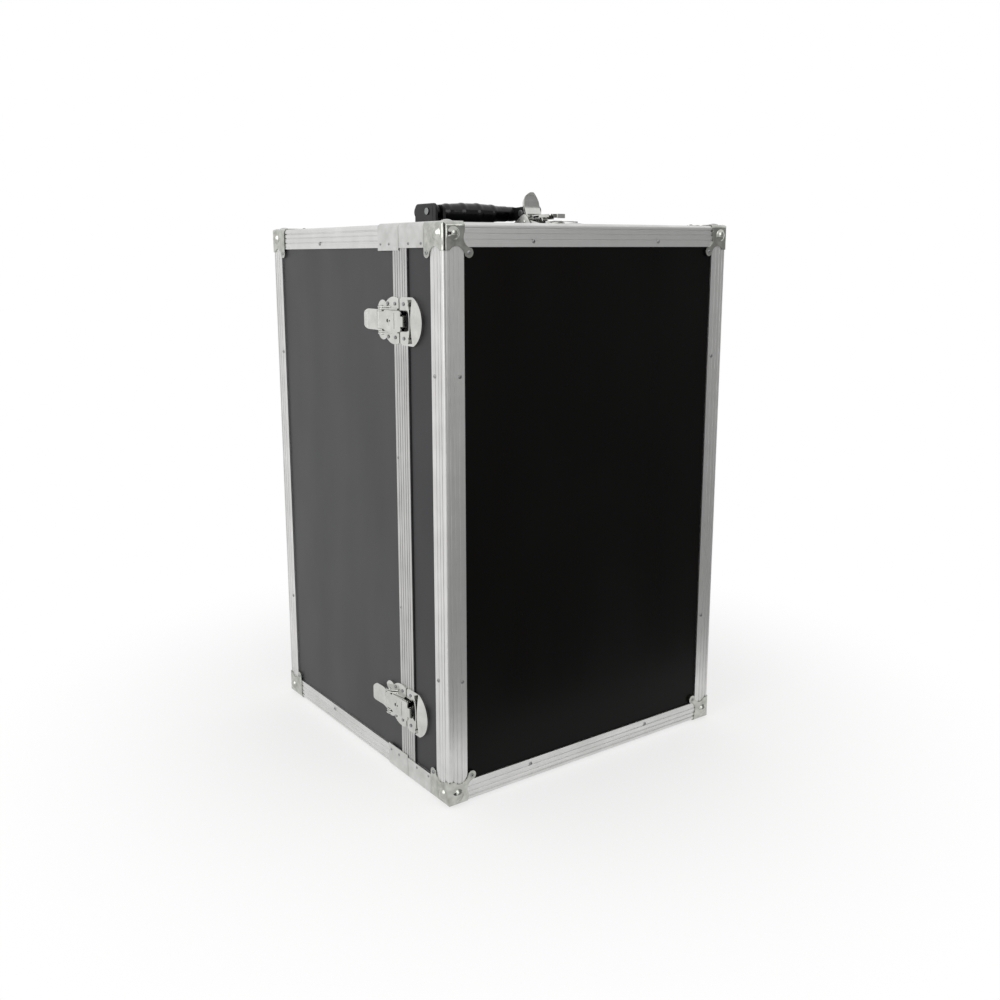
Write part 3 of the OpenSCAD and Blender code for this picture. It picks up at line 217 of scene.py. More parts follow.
def zinc_sheet(name):
    """Zinc-plated sheet steel, rolled: dull metal with cloudy patches."""
    make = Finish(name, Metallic=1.0)
    cloud = make.object_noise(14, detail=5, roughness=0.65)
    make.mottle(cloud, "#a8aaab", "#8d9092")
    make.gloss(cloud, 0.32, 0.5)
    return make.material


def pressed_chrome(name, colour, dull):
    """Steel pressed in a die and bright plated: broad soft waves left by the press bend its
    reflections, and the plating is a little greenish."""
    make = Finish(name, Metallic=1.0)
    haze = make.object_noise(9, detail=3)
    make.mottle(haze, colour, dull)
    make.gloss(haze, 0.1, 0.2)
    make.bump(make.object_noise(15, detail=0), 1.1, 0.8)
    return make.material


def printed_ink(name, colour):
    """Screen-printed ink: a matt film of slightly uneven density."""
    make = Finish(name, Roughness=0.55)
    make.mottle(make.object_noise(1.5, detail=2), colour, shade(colour, 1.25, 0.004))
    return make.material


def still_water(name):
    """Water: clear and faintly blue."""
    make = Finish(name, Roughness=0.02, Transmission_Weight=1.0, IOR=1.333)
    make.mottle(make.object_noise(40, detail=1), "#d6edf6", "#e2f3f9")
    return make.material


def wave_foam(name):
    """Open-cell polyurethane foam, cut in waves: very matt, with cells about 1 mm across."""
    make = Finish(name, Roughness=0.95, Specular_IOR_Level=0.15)
    cell = make.object_noise(1.1, detail=3, roughness=0.7)
    make.mottle(cell, "#2b2c2e", "#414244")
    make.bump(cell, 0.5, 0.9)
    return make.material


def turned_brass(name):
    """Brass bar, turned: warm metal with a little tarnish."""
    make = Finish(name, Metallic=1.0)
    cloud = make.object_noise(7, detail=4)
    make.mottle(cloud, "#c9a961", "#a5853f")
    make.gloss(cloud, 0.22, 0.38)
    return make.material


def cast_alloy(name):
    """Sand-cast aluminium, as cast: pale grey with a coarse skin."""
    make = Finish(name, Metallic=1.0)
    skin = make.object_noise(1.4, detail=3)
    make.mottle(skin, "#a5a8aa", "#85888a")
    make.gloss(skin, 0.48, 0.62)
    make.bump(skin, 0.15, 0.7)
    return make.material


def soft_rubber(name):
    """Moulded nitrile rubber or closed-cell foam: matt with fine pores."""
    make = Finish(name, Roughness=0.85, Specular_IOR_Level=0.25)
    pore = make.object_noise(0.8, detail=2)
    make.mottle(pore, "#141415", "#232324")
    make.bump(pore, 0.12, 0.8)
    return make.material


def blown_bottle(name):
    """Blow-moulded polyethylene, milky and see-through: soft highlights and wall ripples."""
    make = Finish(name, Roughness=0.22, Transmission_Weight=0.75, IOR=1.5)
    cloud = make.object_noise(22, detail=2)
    make.mottle(cloud, "#dcebee", "#f4f8f8")
    make.bump(cloud, 0.25, 0.3)
    return make.material


def clear_lens(name):
    """Clear acrylic disc, polished on both faces."""
    make = Finish(name, Roughness=0.03, Transmission_Weight=1.0, IOR=1.49)
    make.mottle(make.object_noise(12, detail=3), "#f6fafb", "#eef5f6")
    return make.material


# Every finish: its maker, its name and its constants
FINISHES = {
    "black_laminate": (black_laminate, "laminate_side", "#343435", "#3b3b3c", 0.44, 0.34),
    # Painted shade: the cover's front is the same laminate as the sides, made near black and given
    # little specular for the shade it lies in
    "shaded_front_laminate": (black_laminate, "laminate_front", "#050403", "#080706", 0.3, 0.09),
    "cover_laminate": (black_laminate, "laminate_cover_side", "#2e2e30", "#353537", 0.44, 0.27),
    "cap_plate": (pressed_chrome, "chrome_plated_steel_pressed", "#c2c4bd", "#9fa19a"),
    "ink_dark": (printed_ink, "ink_dark_printed", "#26292c"),
    "ink_red": (printed_ink, "ink_red_printed", "#b3261c"),
    "ink_green": (printed_ink, "ink_green_printed", "#2c8a45"),
    "ink_white": (printed_ink, "ink_white_printed", "#e9ebea"),
    "water_fill": (still_water, "water"),
    "lining_foam": (wave_foam, "polyurethane_foam_cut"),
    "aluminium_trim": (extruded_aluminium, "anodised_aluminium_extruded"),
    "rim_trim": (extruded_aluminium, "anodised_aluminium_rim_extruded", "#cbcbc9", "#b8b8b6"),
    "plated_steel": (nickel_plate, "nickel_plated_steel_stamped"),
    "satin_steel": (nickel_plate, "nickel_plated_steel_satin", "#d2d2d0", "#c0c0bd", 0.3),
    "zinc_rivet": (nickel_plate, "zinc_plated_steel_headed", "#a3a4a3", "#87888a", 0.32),
    "handle_plastic": (moulded_plastic, "abs_handle_moulded", "#0c0c0c", 0.34, 0.8, 0.015, 0.4),
    "sleeve_rubber": (moulded_plastic, "vinyl_sleeve_moulded", "#040404", 0.16, 1.2, 0.01, 0.4),
    "black_plastic": (moulded_plastic, "abs_black_moulded", "#1d1d1f", 0.42),
    "seal_foam": (soft_rubber, "foam_seal_cut"),
    "panel_paint": (powder_coat, "powder_coated_panel", "#dcdfe0"),
    "shelf_steel": (zinc_sheet, "zinc_plated_sheet_folded"),
    "gauge_white": (moulded_plastic, "dial_card_printed", "#f2f2ee", 0.6, 0.4, 0.004),
    "clear_lens": (clear_lens, "acrylic_lens_turned"),
    "needle_red": (moulded_plastic, "needle_painted", "#c22a1e", 0.35, 0.5, 0.004),
    "rocker_red": (moulded_plastic, "rocker_moulded", "#b3201a", 0.22, 0.8, 0.005),
    "knob_blue": (moulded_plastic, "knob_blue_moulded", "#2565ab", 0.3),
    "knob_green": (moulded_plastic, "knob_green_moulded", "#2f8a47", 0.3),
    "valve_brass": (turned_brass, "brass_valve_turned"),
    "bottle_clear": (blown_bottle, "polyethylene_blown"),
    "cap_blue": (moulded_plastic, "cap_blue_moulded", "#33679b", 0.38),
    "cap_grey": (moulded_plastic, "cap_grey_moulded", "#c9cbcd", 0.42),
    "rack_white": (moulded_plastic, "rack_white_moulded", "#e6e8e8", 0.4),
    "pedal_grey": (powder_coat, "pedal_powder_coat", "#55585b", 0.5),
    "motor_paint": (powder_coat, "motor_enamel", "#2a3138", 0.35, 2.4),
    "cast_alloy": (cast_alloy, "aluminium_sand_cast"),
    "mount_rubber": (soft_rubber, "rubber_mount_moulded"),
    "tank_paint": (powder_coat, "tank_enamel", "#e4e6e6", 0.28, 2.0),
}
# The record's slot of each finish that has no slot of its own
_made = {}


def finish(slot):
    """The material of a slot, made the first time it is asked for."""
    if slot not in _made:
        maker, *constants = FINISHES[slot]
        _made[slot] = maker(*constants)
    return _made[slot]


# ---------- shapes, in millimetres ----------

def spot(x=0.0, y=0.0, z=0.0):
    return Matrix.Translation((x, y, z))


def rotated(degrees, axis="Z"):
    return Matrix.Rotation(math.radians(degrees), 4, axis)


# Turns that put local +Z on a face's outward normal
OUT = {"L": rotated(-90, "Y"), "R": rotated(90, "Y"), "F": rotated(90, "X"),
       "K": rotated(-90, "X"), "T": rotated(0), "B": rotated(180, "X")}


def on_fascia(x, z, out=0.0):
    """A place on the control panel: local X and Y across it, Z towards the user."""
    return spot(x, FASCIA_Y - out, z) @ OUT["F"]


def mesh_of(shape, name="part"):
    """Turns a shape into mesh data and frees it."""
    data = bpy.data.meshes.new(name)
    shape.to_mesh(data)
    shape.free()
    return data


def in_scene(name, data):
    obj = bpy.data.objects.new(name, data)
    bpy.context.scene.collection.objects.link(obj)
    return obj


def rounded(shape, edges, radius, segments, **extra):
    bmesh.ops.bevel(shape, geom=edges, offset=radius, offset_type="OFFSET", segments=segments,
                    profile=0.5, affect="EDGES", material=-1, **extra)


def cut(shape, point, normal):
    """Cuts every face of a shape along a plane."""
    bmesh.ops.bisect_plane(shape, geom=shape.verts[:] + shape.edges[:] + shape.faces[:],
                           plane_co=point, plane_no=normal)


def extruded(shape, faces, vector):
    grown = bmesh.ops.extrude_face_region(shape, geom=faces)["geom"]
    moved = [item for item in grown if isinstance(item, bmesh.types.BMVert)]
    bmesh.ops.translate(shape, vec=vector, verts=moved)


def turned(profile, steps=32):
    """Spins a profile of (radius, height) points about Z."""
    shape = bmesh.new()
    points = [shape.verts.new((radius, 0, height)) for radius, height in profile]
    lines = [shape.edges.new(pair) for pair in zip(points, points[1:])]
    bmesh.ops.spin(shape, geom=points + lines, cent=(0, 0, 0), axis=(0, 0, 1), angle=math.tau,
                   steps=steps, use_merge=True)
    bmesh.ops.remove_doubles(shape, verts=shape.verts, dist=1e-5)
    bmesh.ops.recalc_face_normals(shape, faces=shape.faces)
    return shape


def block(low, high, round_mm=0.0, segments=3):
    """A box between two corners, with its edges rounded."""
    shape = bmesh.new()
    bmesh.ops.create_cube(shape, size=1)
    size = [b - a for a, b in zip(low, high)]
    bmesh.ops.scale(shape, vec=size, verts=shape.verts)
    bmesh.ops.translate(shape, vec=[(a + b) / 2 for a, b in zip(low, high)], verts=shape.verts)
    if round_mm:
        rounded(shape, shape.edges[:], round_mm, segments)
    return shape


def cross_screw(radius=3.0, height=1.4):
    """A pan-head screw with a cross recess; its seat is at z 0."""
    shape = block((-radius, -radius, 0), (radius, radius, height))
    corners = [edge for edge in shape.edges
               if abs((edge.verts[0].co - edge.verts[1].co).z) > height / 2]
    rounded(shape, corners, radius * 0.93, 5)
    crown = [edge for edge in shape.edges if min(v.co.z for v in edge.verts) > height / 2]
    rounded(shape, crown, height * 0.4, 2)
    half, reach = radius * 0.15, radius * 0.55
    for normal in ((1, 0, 0), (0, 1, 0)):
        for offset in (-reach, -half, half, reach):
            cut(shape, Vector(normal) * offset, normal)
    cross = []
    for face in shape.faces:
        middle = face.calc_center_median()
        near, far = sorted((abs(middle.x), abs(middle.y)))
        if face.normal.z > 0.9 and middle.z > height / 2 and near < half and far < reach:
            cross.append(face)
    extruded(shape, cross, (0, 0, -height * 0.55))
    return shape


def ring_band(inner, outer, start, stop, low, high, steps=24):
    """Part of a flat ring round Z, from one angle to another in degrees."""
    shape = bmesh.new()
    corners = [shape.verts.new(point) for point in
               ((inner, 0, low), (outer, 0, low), (outer, 0, high), (inner, 0, high))]
    lines = [shape.edges.new(pair) for pair in zip(corners, corners[1:] + corners[:1])]
    bmesh.ops.rotate(shape, verts=corners, cent=(0, 0, 0),
                     matrix=Matrix.Rotation(math.radians(start), 3, "Z"))
    bmesh.ops.spin(shape, geom=corners + lines, cent=(0, 0, 0), axis=(0, 0, 1),
                   angle=math.radians(stop - start), steps=steps)
    ends = [edge for edge in shape.edges if edge.is_boundary]
    bmesh.ops.holes_fill(shape, edges=ends, sides=4)
    bmesh.ops.recalc_face_normals(shape, faces=shape.faces)
    return shape


def lettering(text, size):
    """Raised print of a short text, 0.16 mm thick, centred on the origin."""
    curve = bpy.data.curves.new("lettering", "FONT")
    curve.body = text
    curve.size = size
    curve.align_x, curve.align_y = "CENTER", "CENTER"
    curve.extrude = 0.08
    curve.resolution_u = 3
    carrier = in_scene("lettering", curve)
    graph = bpy.context.evaluated_depsgraph_get()
    data = bpy.data.meshes.new_from_object(carrier.evaluated_get(graph))
    shape = bmesh.new()
    shape.from_mesh(data)
    bpy.data.objects.remove(carrier)
    bpy.data.curves.remove(curve)
    bpy.data.meshes.remove(data)
    bmesh.ops.remove_doubles(shape, verts=shape.verts, dist=1e-4)
    return shape


def gathered(*placed):
    """One shape out of (shape, place) pairs."""
    target = bmesh.new()
    for shape, place in placed:
        put(target, shape, place)
    return target


def collar(radius, middle, half, proud, steps=40):
    """A ring of triangular section round Z, proud of a surface of the given radius."""
    foot = radius - 0.4
    return turned([(foot, middle - half), (radius + proud, middle), (foot, middle + half),
                   (foot, middle - half)], steps)


def put(target, shape, place=Matrix.Identity(4)):
    """Adds shape to target at a place, and frees it."""
    shape.transform(place)
    if place.determinant() < 0:
        bmesh.ops.reverse_faces(shape, faces=shape.faces)
    data = mesh_of(shape)
    target.from_mesh(data)
    bpy.data.meshes.remove(data)


def copy_of(*nodes):
    """The CAD nodes' meshes in millimetres, merged and cleared of the lines across flat faces."""
    shape = bmesh.new()
    for node in nodes:
        shape.from_mesh(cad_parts[node].data)
    bmesh.ops.scale(shape, vec=(1 / MM,) * 3, verts=shape.verts)
    bmesh.ops.remove_doubles(shape, verts=shape.verts, dist=0.002)
    bmesh.ops.dissolve_limit(shape, angle_limit=math.radians(0.6), verts=shape.verts,
                             edges=shape.edges)
    return shape


def islands(shape):
    """The connected groups of vertices."""
    seen, groups = set(), []
    for start in shape.verts:
        if start in seen:
            continue
        seen.add(start)
        group, stack = [], [start]
        while stack:
            vertex = stack.pop()
            group.append(vertex)
            for edge in vertex.link_edges:
                other = edge.other_vert(vertex)
                if other not in seen:
                    seen.add(other)
                    stack.append(other)
        groups.append(group)
    return groups


def piece(name, shape, body, slot, replaces=(), edge_mm=0.0, segments=2, sharp=32, place=None):
    """Makes an object of a shape in millimetres, smooth but for its sharp edges, on its body."""
    if place is not None:
        shape.transform(place)
    bmesh.ops.scale(shape, vec=(MM,) * 3, verts=shape.verts)
    data = mesh_of(shape, name)
    obj = in_scene(name, data)
    data.materials.append(finish(slot))
    data.polygons.foreach_set("use_smooth", [True] * len(data.polygons))
    if edge_mm:
        bevel = obj.modifiers.new("rounded_edges", "BEVEL")
        bevel.width = edge_mm * MM
        bevel.segments = segments
        bevel.limit_method = "ANGLE"
        bevel.angle_limit = math.radians(sharp)
        bevel.harden_normals = False
        bevel.miter_outer = "MITER_ARC"
        weight = obj.modifiers.new("flat_faces", "WEIGHTED_NORMAL")
        weight.keep_sharp = True
        weight.weight = 90
    else:
        data.set_sharp_from_angle(angle=math.radians(sharp))
    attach(obj, body)
    if replaces:
        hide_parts(*replaces)
    return obj


def dress(node, slot):
    """Gives a CAD node that keeps its shape its finish."""
    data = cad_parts[node].data
    data.materials.clear()
    data.materials.append(finish(slot))


def refine(node, body, slot, edge_mm=0.3, **extra):
    """Replaces a CAD node by its own shape with rounded edges."""
    piece(node + "_finished", copy_of(node), body, slot, (node,), edge_mm, **extra)


def refine_case(*rows):
    """Refines nodes of the case body, each given as node, slot and rounding."""
    for node, slot, edge_mm in rows:
        refine(node, "case_body", slot, edge_mm)


def screws(name, body, heads):
    """Makes one piece of screw heads, each given as radius, height, place and turn."""
    shapes = [(cross_screw(radius, height), place @ rotated(turn))
              for radius, height, place, turn in heads]
    piece(name, gathered(*shapes), body, "zinc_rivet", sharp=40)


# ---------- the case ----------

def map_run(shape, axis_of):
    """Writes the UV map that the drawing lines follow: U along the run, V across it."""
    uv = shape.loops.layers.uv.new("run")
    for face in shape.faces:
        axis = axis_of(face)
        for loop in face.loops:
            co = loop.vert.co
            across = sum(co[i] for i in range(3) if i != axis)
            loop[uv].uv = (co[axis] * MM, across * MM)


def trims(node, body, name):
    shape = copy_of(node)
    run = {}
    for group in islands(shape):
        extent = [max(v.co[i] for v in group) - min(v.co[i] for v in group) for i in range(3)]
        for vertex in group:
            run[vertex] = extent.index(max(extent))
    map_run(shape, lambda face: run[face.verts[0]])
    piece(name, shape, body, "aluminium_trim", (node,), 0.25, 2)


def rim_axis(face):
    """A rim runs up its sides and across its top and bottom."""
    normal, middle = face.normal, face.calc_center_median()
    if abs(normal.x) > 0.7:
        return 2
    if abs(normal.z) > 0.7:
        return 0
    return 2 if XW - abs(middle.x) < CASE_H / 2 - abs(middle.z - ZM) else 0


def rims(node, body, name):
    shape = copy_of(node)
    map_run(shape, rim_axis)
    piece(name, shape, body, "rim_trim", (node,), 0.2, 2)


DOME = [(0, 3.2), (1.6, 3.08), (3.1, 2.7), (4.5, 2.08), (5.7, 1.2), (6.6, 0.4), (7.4, 0),
        (7.4, -0.8), (0, -0.8)]


def caps(node, body):
    """Pressed corner caps: the three outer edges of each are rolled over a wide radius, and a
    high dome stands on each of its front and side faces."""
    shape = copy_of(node)

    def outermost(vertex):
        reach = (abs(vertex.co.x) - XW, abs(vertex.co.y) - YB, abs(vertex.co.z - ZM) - CASE_H / 2)
        return {axis for axis in range(3) if abs(reach[axis] - CAP_T) < 0.05}

    corners = [edge for edge in shape.edges if len(edge.link_faces) == 2
               and len(outermost(edge.verts[0]) & outermost(edge.verts[1])) > 1]
    rounded(shape, corners, CAP_ROLL, 6, clamp_overlap=True)
    piece(node + "_pressed", shape, body, "cap_plate", (node,), 0.45, 3, sharp=28)
    face, y = ("K", YB) if body == "case_body" else ("F", -YB)
    domes = []
    for x in (-XW, XW):
        for level in (Z0 + DOME_AT, Z1 - DOME_AT):
            front = spot(x - math.copysign(DOME_AT, x), y + math.copysign(CAP_T, y), level)
            flank = spot(x + math.copysign(CAP_T, x), y - math.copysign(DOME_AT, y), level)
            domes += [(turned(DOME, 40), front @ OUT[face]),
                      (turned(DOME, 40), flank @ OUT["R" if x > 0 else "L"])]
    piece(node + "_domes", gathered(*domes), body, "cap_plate", sharp=60)


# A pulled rivet: a low dome round the sunk end of its broken mandrel
RIVET_HEAD = [(0, 0.3), (0.55, 0.34), (0.7, 0.2), (0.85, 0.95), (1.3, 0.92), (1.9, 0.6),
              (2.3, 0.12), (2.3, 0), (1.5, 0), (1.5, -4), (0, -4)]
RIVET_H = 1.1
# The face of the case that each outward axis belongs to
FACE_OF = {(0, 1): "R", (0, -1): "L", (1, 1): "K", (1, -1): "F", (2, 1): "T", (2, -1): "B"}


def rivets(node, body, name):
    """Domed rivet heads, each where a rivet of the CAD node is."""
    source = copy_of(node)
    shape = bmesh.new()
    for group in islands(source):
        low, high = (Vector([end(v.co[i] for v in group) for i in range(3)]) for end in (min, max))
        extent = high - low
        axis = max(range(3), key=lambda i: extent[i])
        foot = (low + high) / 2
        outward = 1 if foot[axis] > (0, 0, ZM)[axis] else -1
        foot[axis] = (high if outward > 0 else low)[axis] - outward * RIVET_H
        size = 0.7 if abs(foot.y - SEAM_Y) < BRACE_REACH else 1.0
        place = Matrix.Translation(foot) @ OUT[FACE_OF[axis, outward]]
        put(shape, turned(RIVET_HEAD, 20), place @ Matrix.Scale(size, 4))
    source.free()
    piece(name, shape, body, "zinc_rivet", (node,), sharp=50)


# Frames of the latches: X along the seam, Y from the seam towards the body, Z out of the case
LATCHES = (("upper", spot(-XW, SEAM_Y, LATCH_Z[0]) @ OUT["L"], 0.0),
           ("lower", spot(-XW, SEAM_Y, LATCH_Z[1]) @ OUT["L"], 0.0),
           ("top", spot(0, SEAM_Y, Z1), TOP_LIFT))
PIN_HEAD = [(0, 1.1), (0.9, 1.0), (1.7, 0.7), (2.1, 0.2), (2.1, 0), (0, 0)]
# Outlines of the guard plates, as (along, out) from the seam
LOW_CREST = ((19, 1.5), (46, 1.5), (35.5, 8.4), (32, 9.6), (28.5, 9.2), (26.5, 7.8))
HIGH_CREST = ((17, 1.5), (58, 1.5), (46, 6.4), (36, 12.2), (32, 14), (28.5, 13.4), (26, 10.6))
GUARD_X, GUARD_T = 14.7, 1.3


def lever(name, pivot):
    """A lever whose sheet sags between its cheeks and curls up at the thumb end; the raised one
    on the top shows the round end of its tongue."""
    node = name + "_lever"
    shape = copy_of(node)
    shape.transform(pivot.inverted())
    for step in range(10, TIP_Y):
        cut(shape, (0, step, 0), (0, 1, 0))
    for vertex in shape.verts:
        along = vertex.co.y
        if along > WEB_Y:
            share = min(1, (along - WEB_Y) / (CURL_Y - WEB_Y))
            vertex.co.z -= 0.7 * math.sin(math.pi * share)
        if along > CURL_Y:
            vertex.co.z += 2.4 * ((along - CURL_Y) / (TIP_Y - CURL_Y)) ** 2
        if name == "top" and along > TONGUE_Y:
            vertex.co.x *= math.sqrt(1 - 0.9 * ((along - TONGUE_Y) / (TIP_Y - TONGUE_Y)) ** 2)
    piece(node + "_curled", shape, name + "_latch_lever", "plated_steel", (node,), 0.45, 3,
          sharp=24, place=pivot)


def hook_skirts(name, place, lift):
    """The folded sides of a hook's plate, which close its box towards the case, and its rib."""
    angle = math.radians(lift)
    pivot = place @ spot(0, PIVOT_Y + CRANK * math.cos(angle), PIVOT_Z + CRANK * math.sin(angle))
    sides = [(block((x - 0.8, -24.6, -3.4), (x + 0.8, -11.6, 1.2), 0.35), pivot)
             for x in (-10.7, 10.7)]
    rib = (block((-5.5, -23.2, 1.2), (5.5, -21.4, 2.3), 0.5), pivot)
    piece(name + "_hook_skirts", gathered(*sides, rib), name + "_latch_hook", "plated_steel",
          sharp=40)


def guard_cheek(crest):
    """A three-cornered side plate of a latch base, with a rounded crest."""
    shape = bmesh.new()
    side = shape.faces.new([shape.verts.new((0, along, height)) for along, height in crest])
    extruded(shape, [side], (GUARD_T, 0, 0))
    bmesh.ops.recalc_face_normals(shape, faces=shape.faces)
    return shape


PLATE_X, PLATE_T = 80.8, 3.6


def end_plate():
    """The outer cheek of a handle bracket, which closes the end of the folded grip."""
    shape = block((0, 3, -0.4), (PLATE_T, 51, 29.6))
    crown = [edge for edge in shape.edges if min(v.co.z for v in edge.verts) > 29
             and abs(edge.verts[0].co.x - edge.verts[1].co.x) > 3]
    rounded(shape, crown, 6.5, 6)
    return shape


def grip_sleeve():
    """The grip's sleeve: a belly in the middle with finger crests 24 mm apart."""
    profile = [(9.0, -59.5)]
    for x in range(-59, 60):
        belly = max(0.0, 1 - (x / 47) ** 2)
        crest = max(0.0, math.cos(math.tau * (x + 12) / 24)) ** 2
        profile.append((10.1 + 2.6 * belly + 0.8 * crest * (abs(x) < 54), x))
    return turned(profile + [(9.0, 59.5)], 40)


def gauge_print():
    """The dial's scale from 0 to 10, its two zones, and the needle's boss."""
    here = on_fascia(GAUGE_X, ROW_A)
    marks = []
    for step in range(51):
        inner, half = (21.2, 0.2) if step % 5 else (19.2, 0.42)
        marks.append((block((inner, -half, -4.85), (23.6, half, -4.62)),
                      here @ rotated(225 - 5.4 * step)))
    for value in range(11):
        angle = math.radians(225 - 27 * value)
        marks.append((lettering(str(value), 5.2),
                      here @ spot(15.2 * math.cos(angle), 15.2 * math.sin(angle), -4.74)))
    piece("gauge_scale", gathered(*marks), "case_body", "ink_dark")
    for name, start, stop, slot in (("working", 9, 117, "ink_green"), ("high", -45, 9, "ink_red")):
        piece("gauge_zone_" + name, ring_band(24.2, 25.9, start, stop, -4.85, -4.6, 36),
              "case_body", slot, place=here)
    boss = turned([(0, -1.0), (1.6, -1.1), (2.6, -1.5), (3.4, -1.9), (3.4, -2.6), (0, -2.6)])
    piece("needle_boss", boss, "needle", "black_plastic", sharp=50, place=here)


def switch_print():
    """Marks on the rocker and by the switch, and a small lamp beside it."""
    here = on_fascia(SWITCH_X, ROW_A)
    slope = math.degrees(math.atan2(1.7, 12))
    marks = []
    for side, mark in ((1, block((-0.4, -2.4, 0), (0.4, 2.4, 0.22))),
                       (-1, ring_band(1.7, 2.4, 0, 360, 0, 0.22, 32))):
        seat = spot(0, 0, -1) @ rotated(9, "X") @ spot(0, side * 6.5, 4.2)
        marks.append((mark, here @ seat @ rotated(-side * slope, "X")))
    piece("rocker_marks", gathered(*marks), "rocker", "ink_white")
    words = [(lettering(word, 6.5), here @ spot(0, y, 0.02))
             for word, y in (("ON", 24.5), ("OFF", -24.5))]
    piece("switch_words", gathered(*words), "case_body", "ink_dark")
    lamp = turned([(0, 3.0), (1.3, 2.8), (2.3, 2.1), (2.8, 1.0), (2.8, 0), (0, 0)])
    piece("lamp_lens", lamp, "case_body", "knob_green", sharp=60, place=here @ spot(32, 0, 0.4))
    bezel = turned([(2.9, 0), (2.9, 1.3), (3.4, 1.6), (4.2, 1.2), (4.5, 0), (2.9, 0)])
    piece("lamp_bezel", bezel, "case_body", "plated_steel", sharp=50, place=here @ spot(32, 0, 0))


def valve_print():
    """Scales round the two knobs and the pointers on them."""
    marks = []
    for x, body in ((WATER_X, "water_control"), (AIR_X, "air_control")):
        here = on_fascia(x, ROW_A)
        marks.append((ring_band(16.4, 17.0, -45, 225, -0.05, 0.14, 48), here))
        for step in range(11):
            outer = 19.2 if step % 5 else 20.6
            marks.append((block((17.6, -0.35, -0.05), (outer, 0.35, 0.14)),
                          here @ rotated(225 - 27 * step)))
        for value, angle in ((0, 225), (5, 90), (10, -45)):
            at = math.radians(angle)
            marks.append((lettering(str(value), 5),
                          here @ spot(24.6 * math.cos(at), 24.6 * math.sin(at), 0.02)))
        piece(body + "_pointer", block((-0.7, 1.5, 19.6), (0.7, 8.3, 20.3), 0.15, 1), body,
              "ink_white", place=here @ rotated(135))
    piece("valve_scales", gathered(*marks), "case_body", "ink_dark")


def outlet_fittings():
    """Numbers under the outlets, hose barbs, a coloured ring on each nipple and printed lines."""
    numbers, barbs = [], []
    for index, x in enumerate(OUTLET_X):
        here = on_fascia(x, ROW_B)
        numbers.append((lettering(str(index + 1), 7.5), here @ spot(0, -20, 0.02)))
        barbs += [(collar(5, height, 1.1, 0.9), here) for height in (10.5, 13.2, 15.9)]
        ring = turned([(4.6, 5), (6, 5), (6.4, 5.8), (6, 6.6), (4.6, 6.6), (4.6, 5)], 40)
        piece("outlet_ring_%d" % (index + 1), ring, "case_body",
              ("cap_blue", "rocker_red", "knob_green")[index], sharp=50, place=here)
    here = on_fascia(SUCTION_X, ROW_B)
    barbs += [(collar(7, height, 1.2, 1.0), here) for height in (13, 16.2, 19.4)]
    numbers.append((lettering("4", 7.5), here @ spot(0, -23, 0.02)))
    piece("outlet_numbers", gathered(*numbers), "case_body", "ink_dark")
    piece("outlet_barbs", gathered(*barbs), "case_body", "plated_steel", sharp=25)
    lines = [((-184, 328), (184, 329)), ((-184, 608), (184, 609)), ((-184, 328), (-183, 609)),
             ((183, 328), (184, 609)), ((-184, 497.5), (184, 498.3)), ((-184, 416), (184, 416.8))]
    frames = [(block((low[0], -0.12, low[1]), (high[0], 0.05, high[1])), spot(0, FASCIA_Y))
              for low, high in lines]
    piece("fascia_lines", gathered(*frames), "case_body", "knob_blue")


def foam_slab():
    """A slab of foam inside the cover, its free face cut in waves 30 mm long."""
    shape = bmesh.new()
    bmesh.ops.create_grid(shape, x_segments=92, y_segments=148, size=0.5)
    bmesh.ops.scale(shape, vec=(376, 600, 1), verts=shape.verts)
    shape.transform(spot(0, -187, ZM) @ OUT["K"])
    bmesh.ops.recalc_face_normals(shape, faces=shape.faces)
    rim = [edge for edge in shape.edges if edge.is_boundary]
    for vertex in shape.verts:
        wave = math.sin(math.tau * vertex.co.x / 30) * math.sin(math.tau * vertex.co.z / 30)
        vertex.co.y = -186.5 + 3.6 * wave
    grown = bmesh.ops.extrude_edge_only(shape, edges=rim)["geom"]
    back = [item for item in grown if isinstance(item, bmesh.types.BMVert)]
    for vertex in back:
        vertex.co.y = -193.9
    ends = [item for item in grown if isinstance(item, bmesh.types.BMEdge) and item.is_boundary]
    bmesh.ops.holes_fill(shape, edges=ends, sides=0)
    bmesh.ops.recalc_face_normals(shape, faces=shape.faces)
    return shape


def graduations(name, body, bottle, radius, low, step, count):
    """Printed marks and numbers up a bottle's front."""
    marks = []
    for index in range(count):
        level = low + step * index
        wide = 7 if index % 2 else 13
        mark = ring_band(radius - 0.2, radius + 0.16, -90, -90 + wide,
                         level - 0.35, level + 0.35, 8)
        marks.append((mark, spot(*bottle)))
        if index % 2 == 0:
            front = spot(0, -radius - 0.04, level) @ OUT["F"]
            marks.append((lettering(str(index // 2 + 1), 6), spot(*bottle) @ rotated(-8) @ front))
    piece(name, gathered(*marks), body, "ink_dark")


class UnitSizes(bpy.types.PropertyGroup):
    """Sizes that a user would change"""

    edge: bpy.props.FloatProperty(
        name="Edge rounding", description="Radius of the rounding on stamped edges",
        default=0.45 * MM, min=0.0, max=1.0 * MM, subtype="DISTANCE", unit="LENGTH")
    key_power: bpy.props.FloatProperty(
        name="Key light", description="Power of the large soft light on the left",
        default=26.0, min=0.0, unit="POWER")
    fill_power: bpy.props.FloatProperty(
        name="Fill light", description="Power of the soft light in front",
        default=9.0, min=0.0, unit="POWER")
    surround: bpy.props.FloatProperty(
        name="Surround", description="Strength of the even light from all sides",
        default=0.72, min=0.0)


class UnitColours(bpy.types.PropertyGroup):
    """Colours that a user would change"""

    floor: bpy.props.FloatVectorProperty(
        name="Floor", description="Colour of the studio floor", subtype="COLOR", size=4,
        default=linear("#fafaf8"), min=0.0, max=1.0)


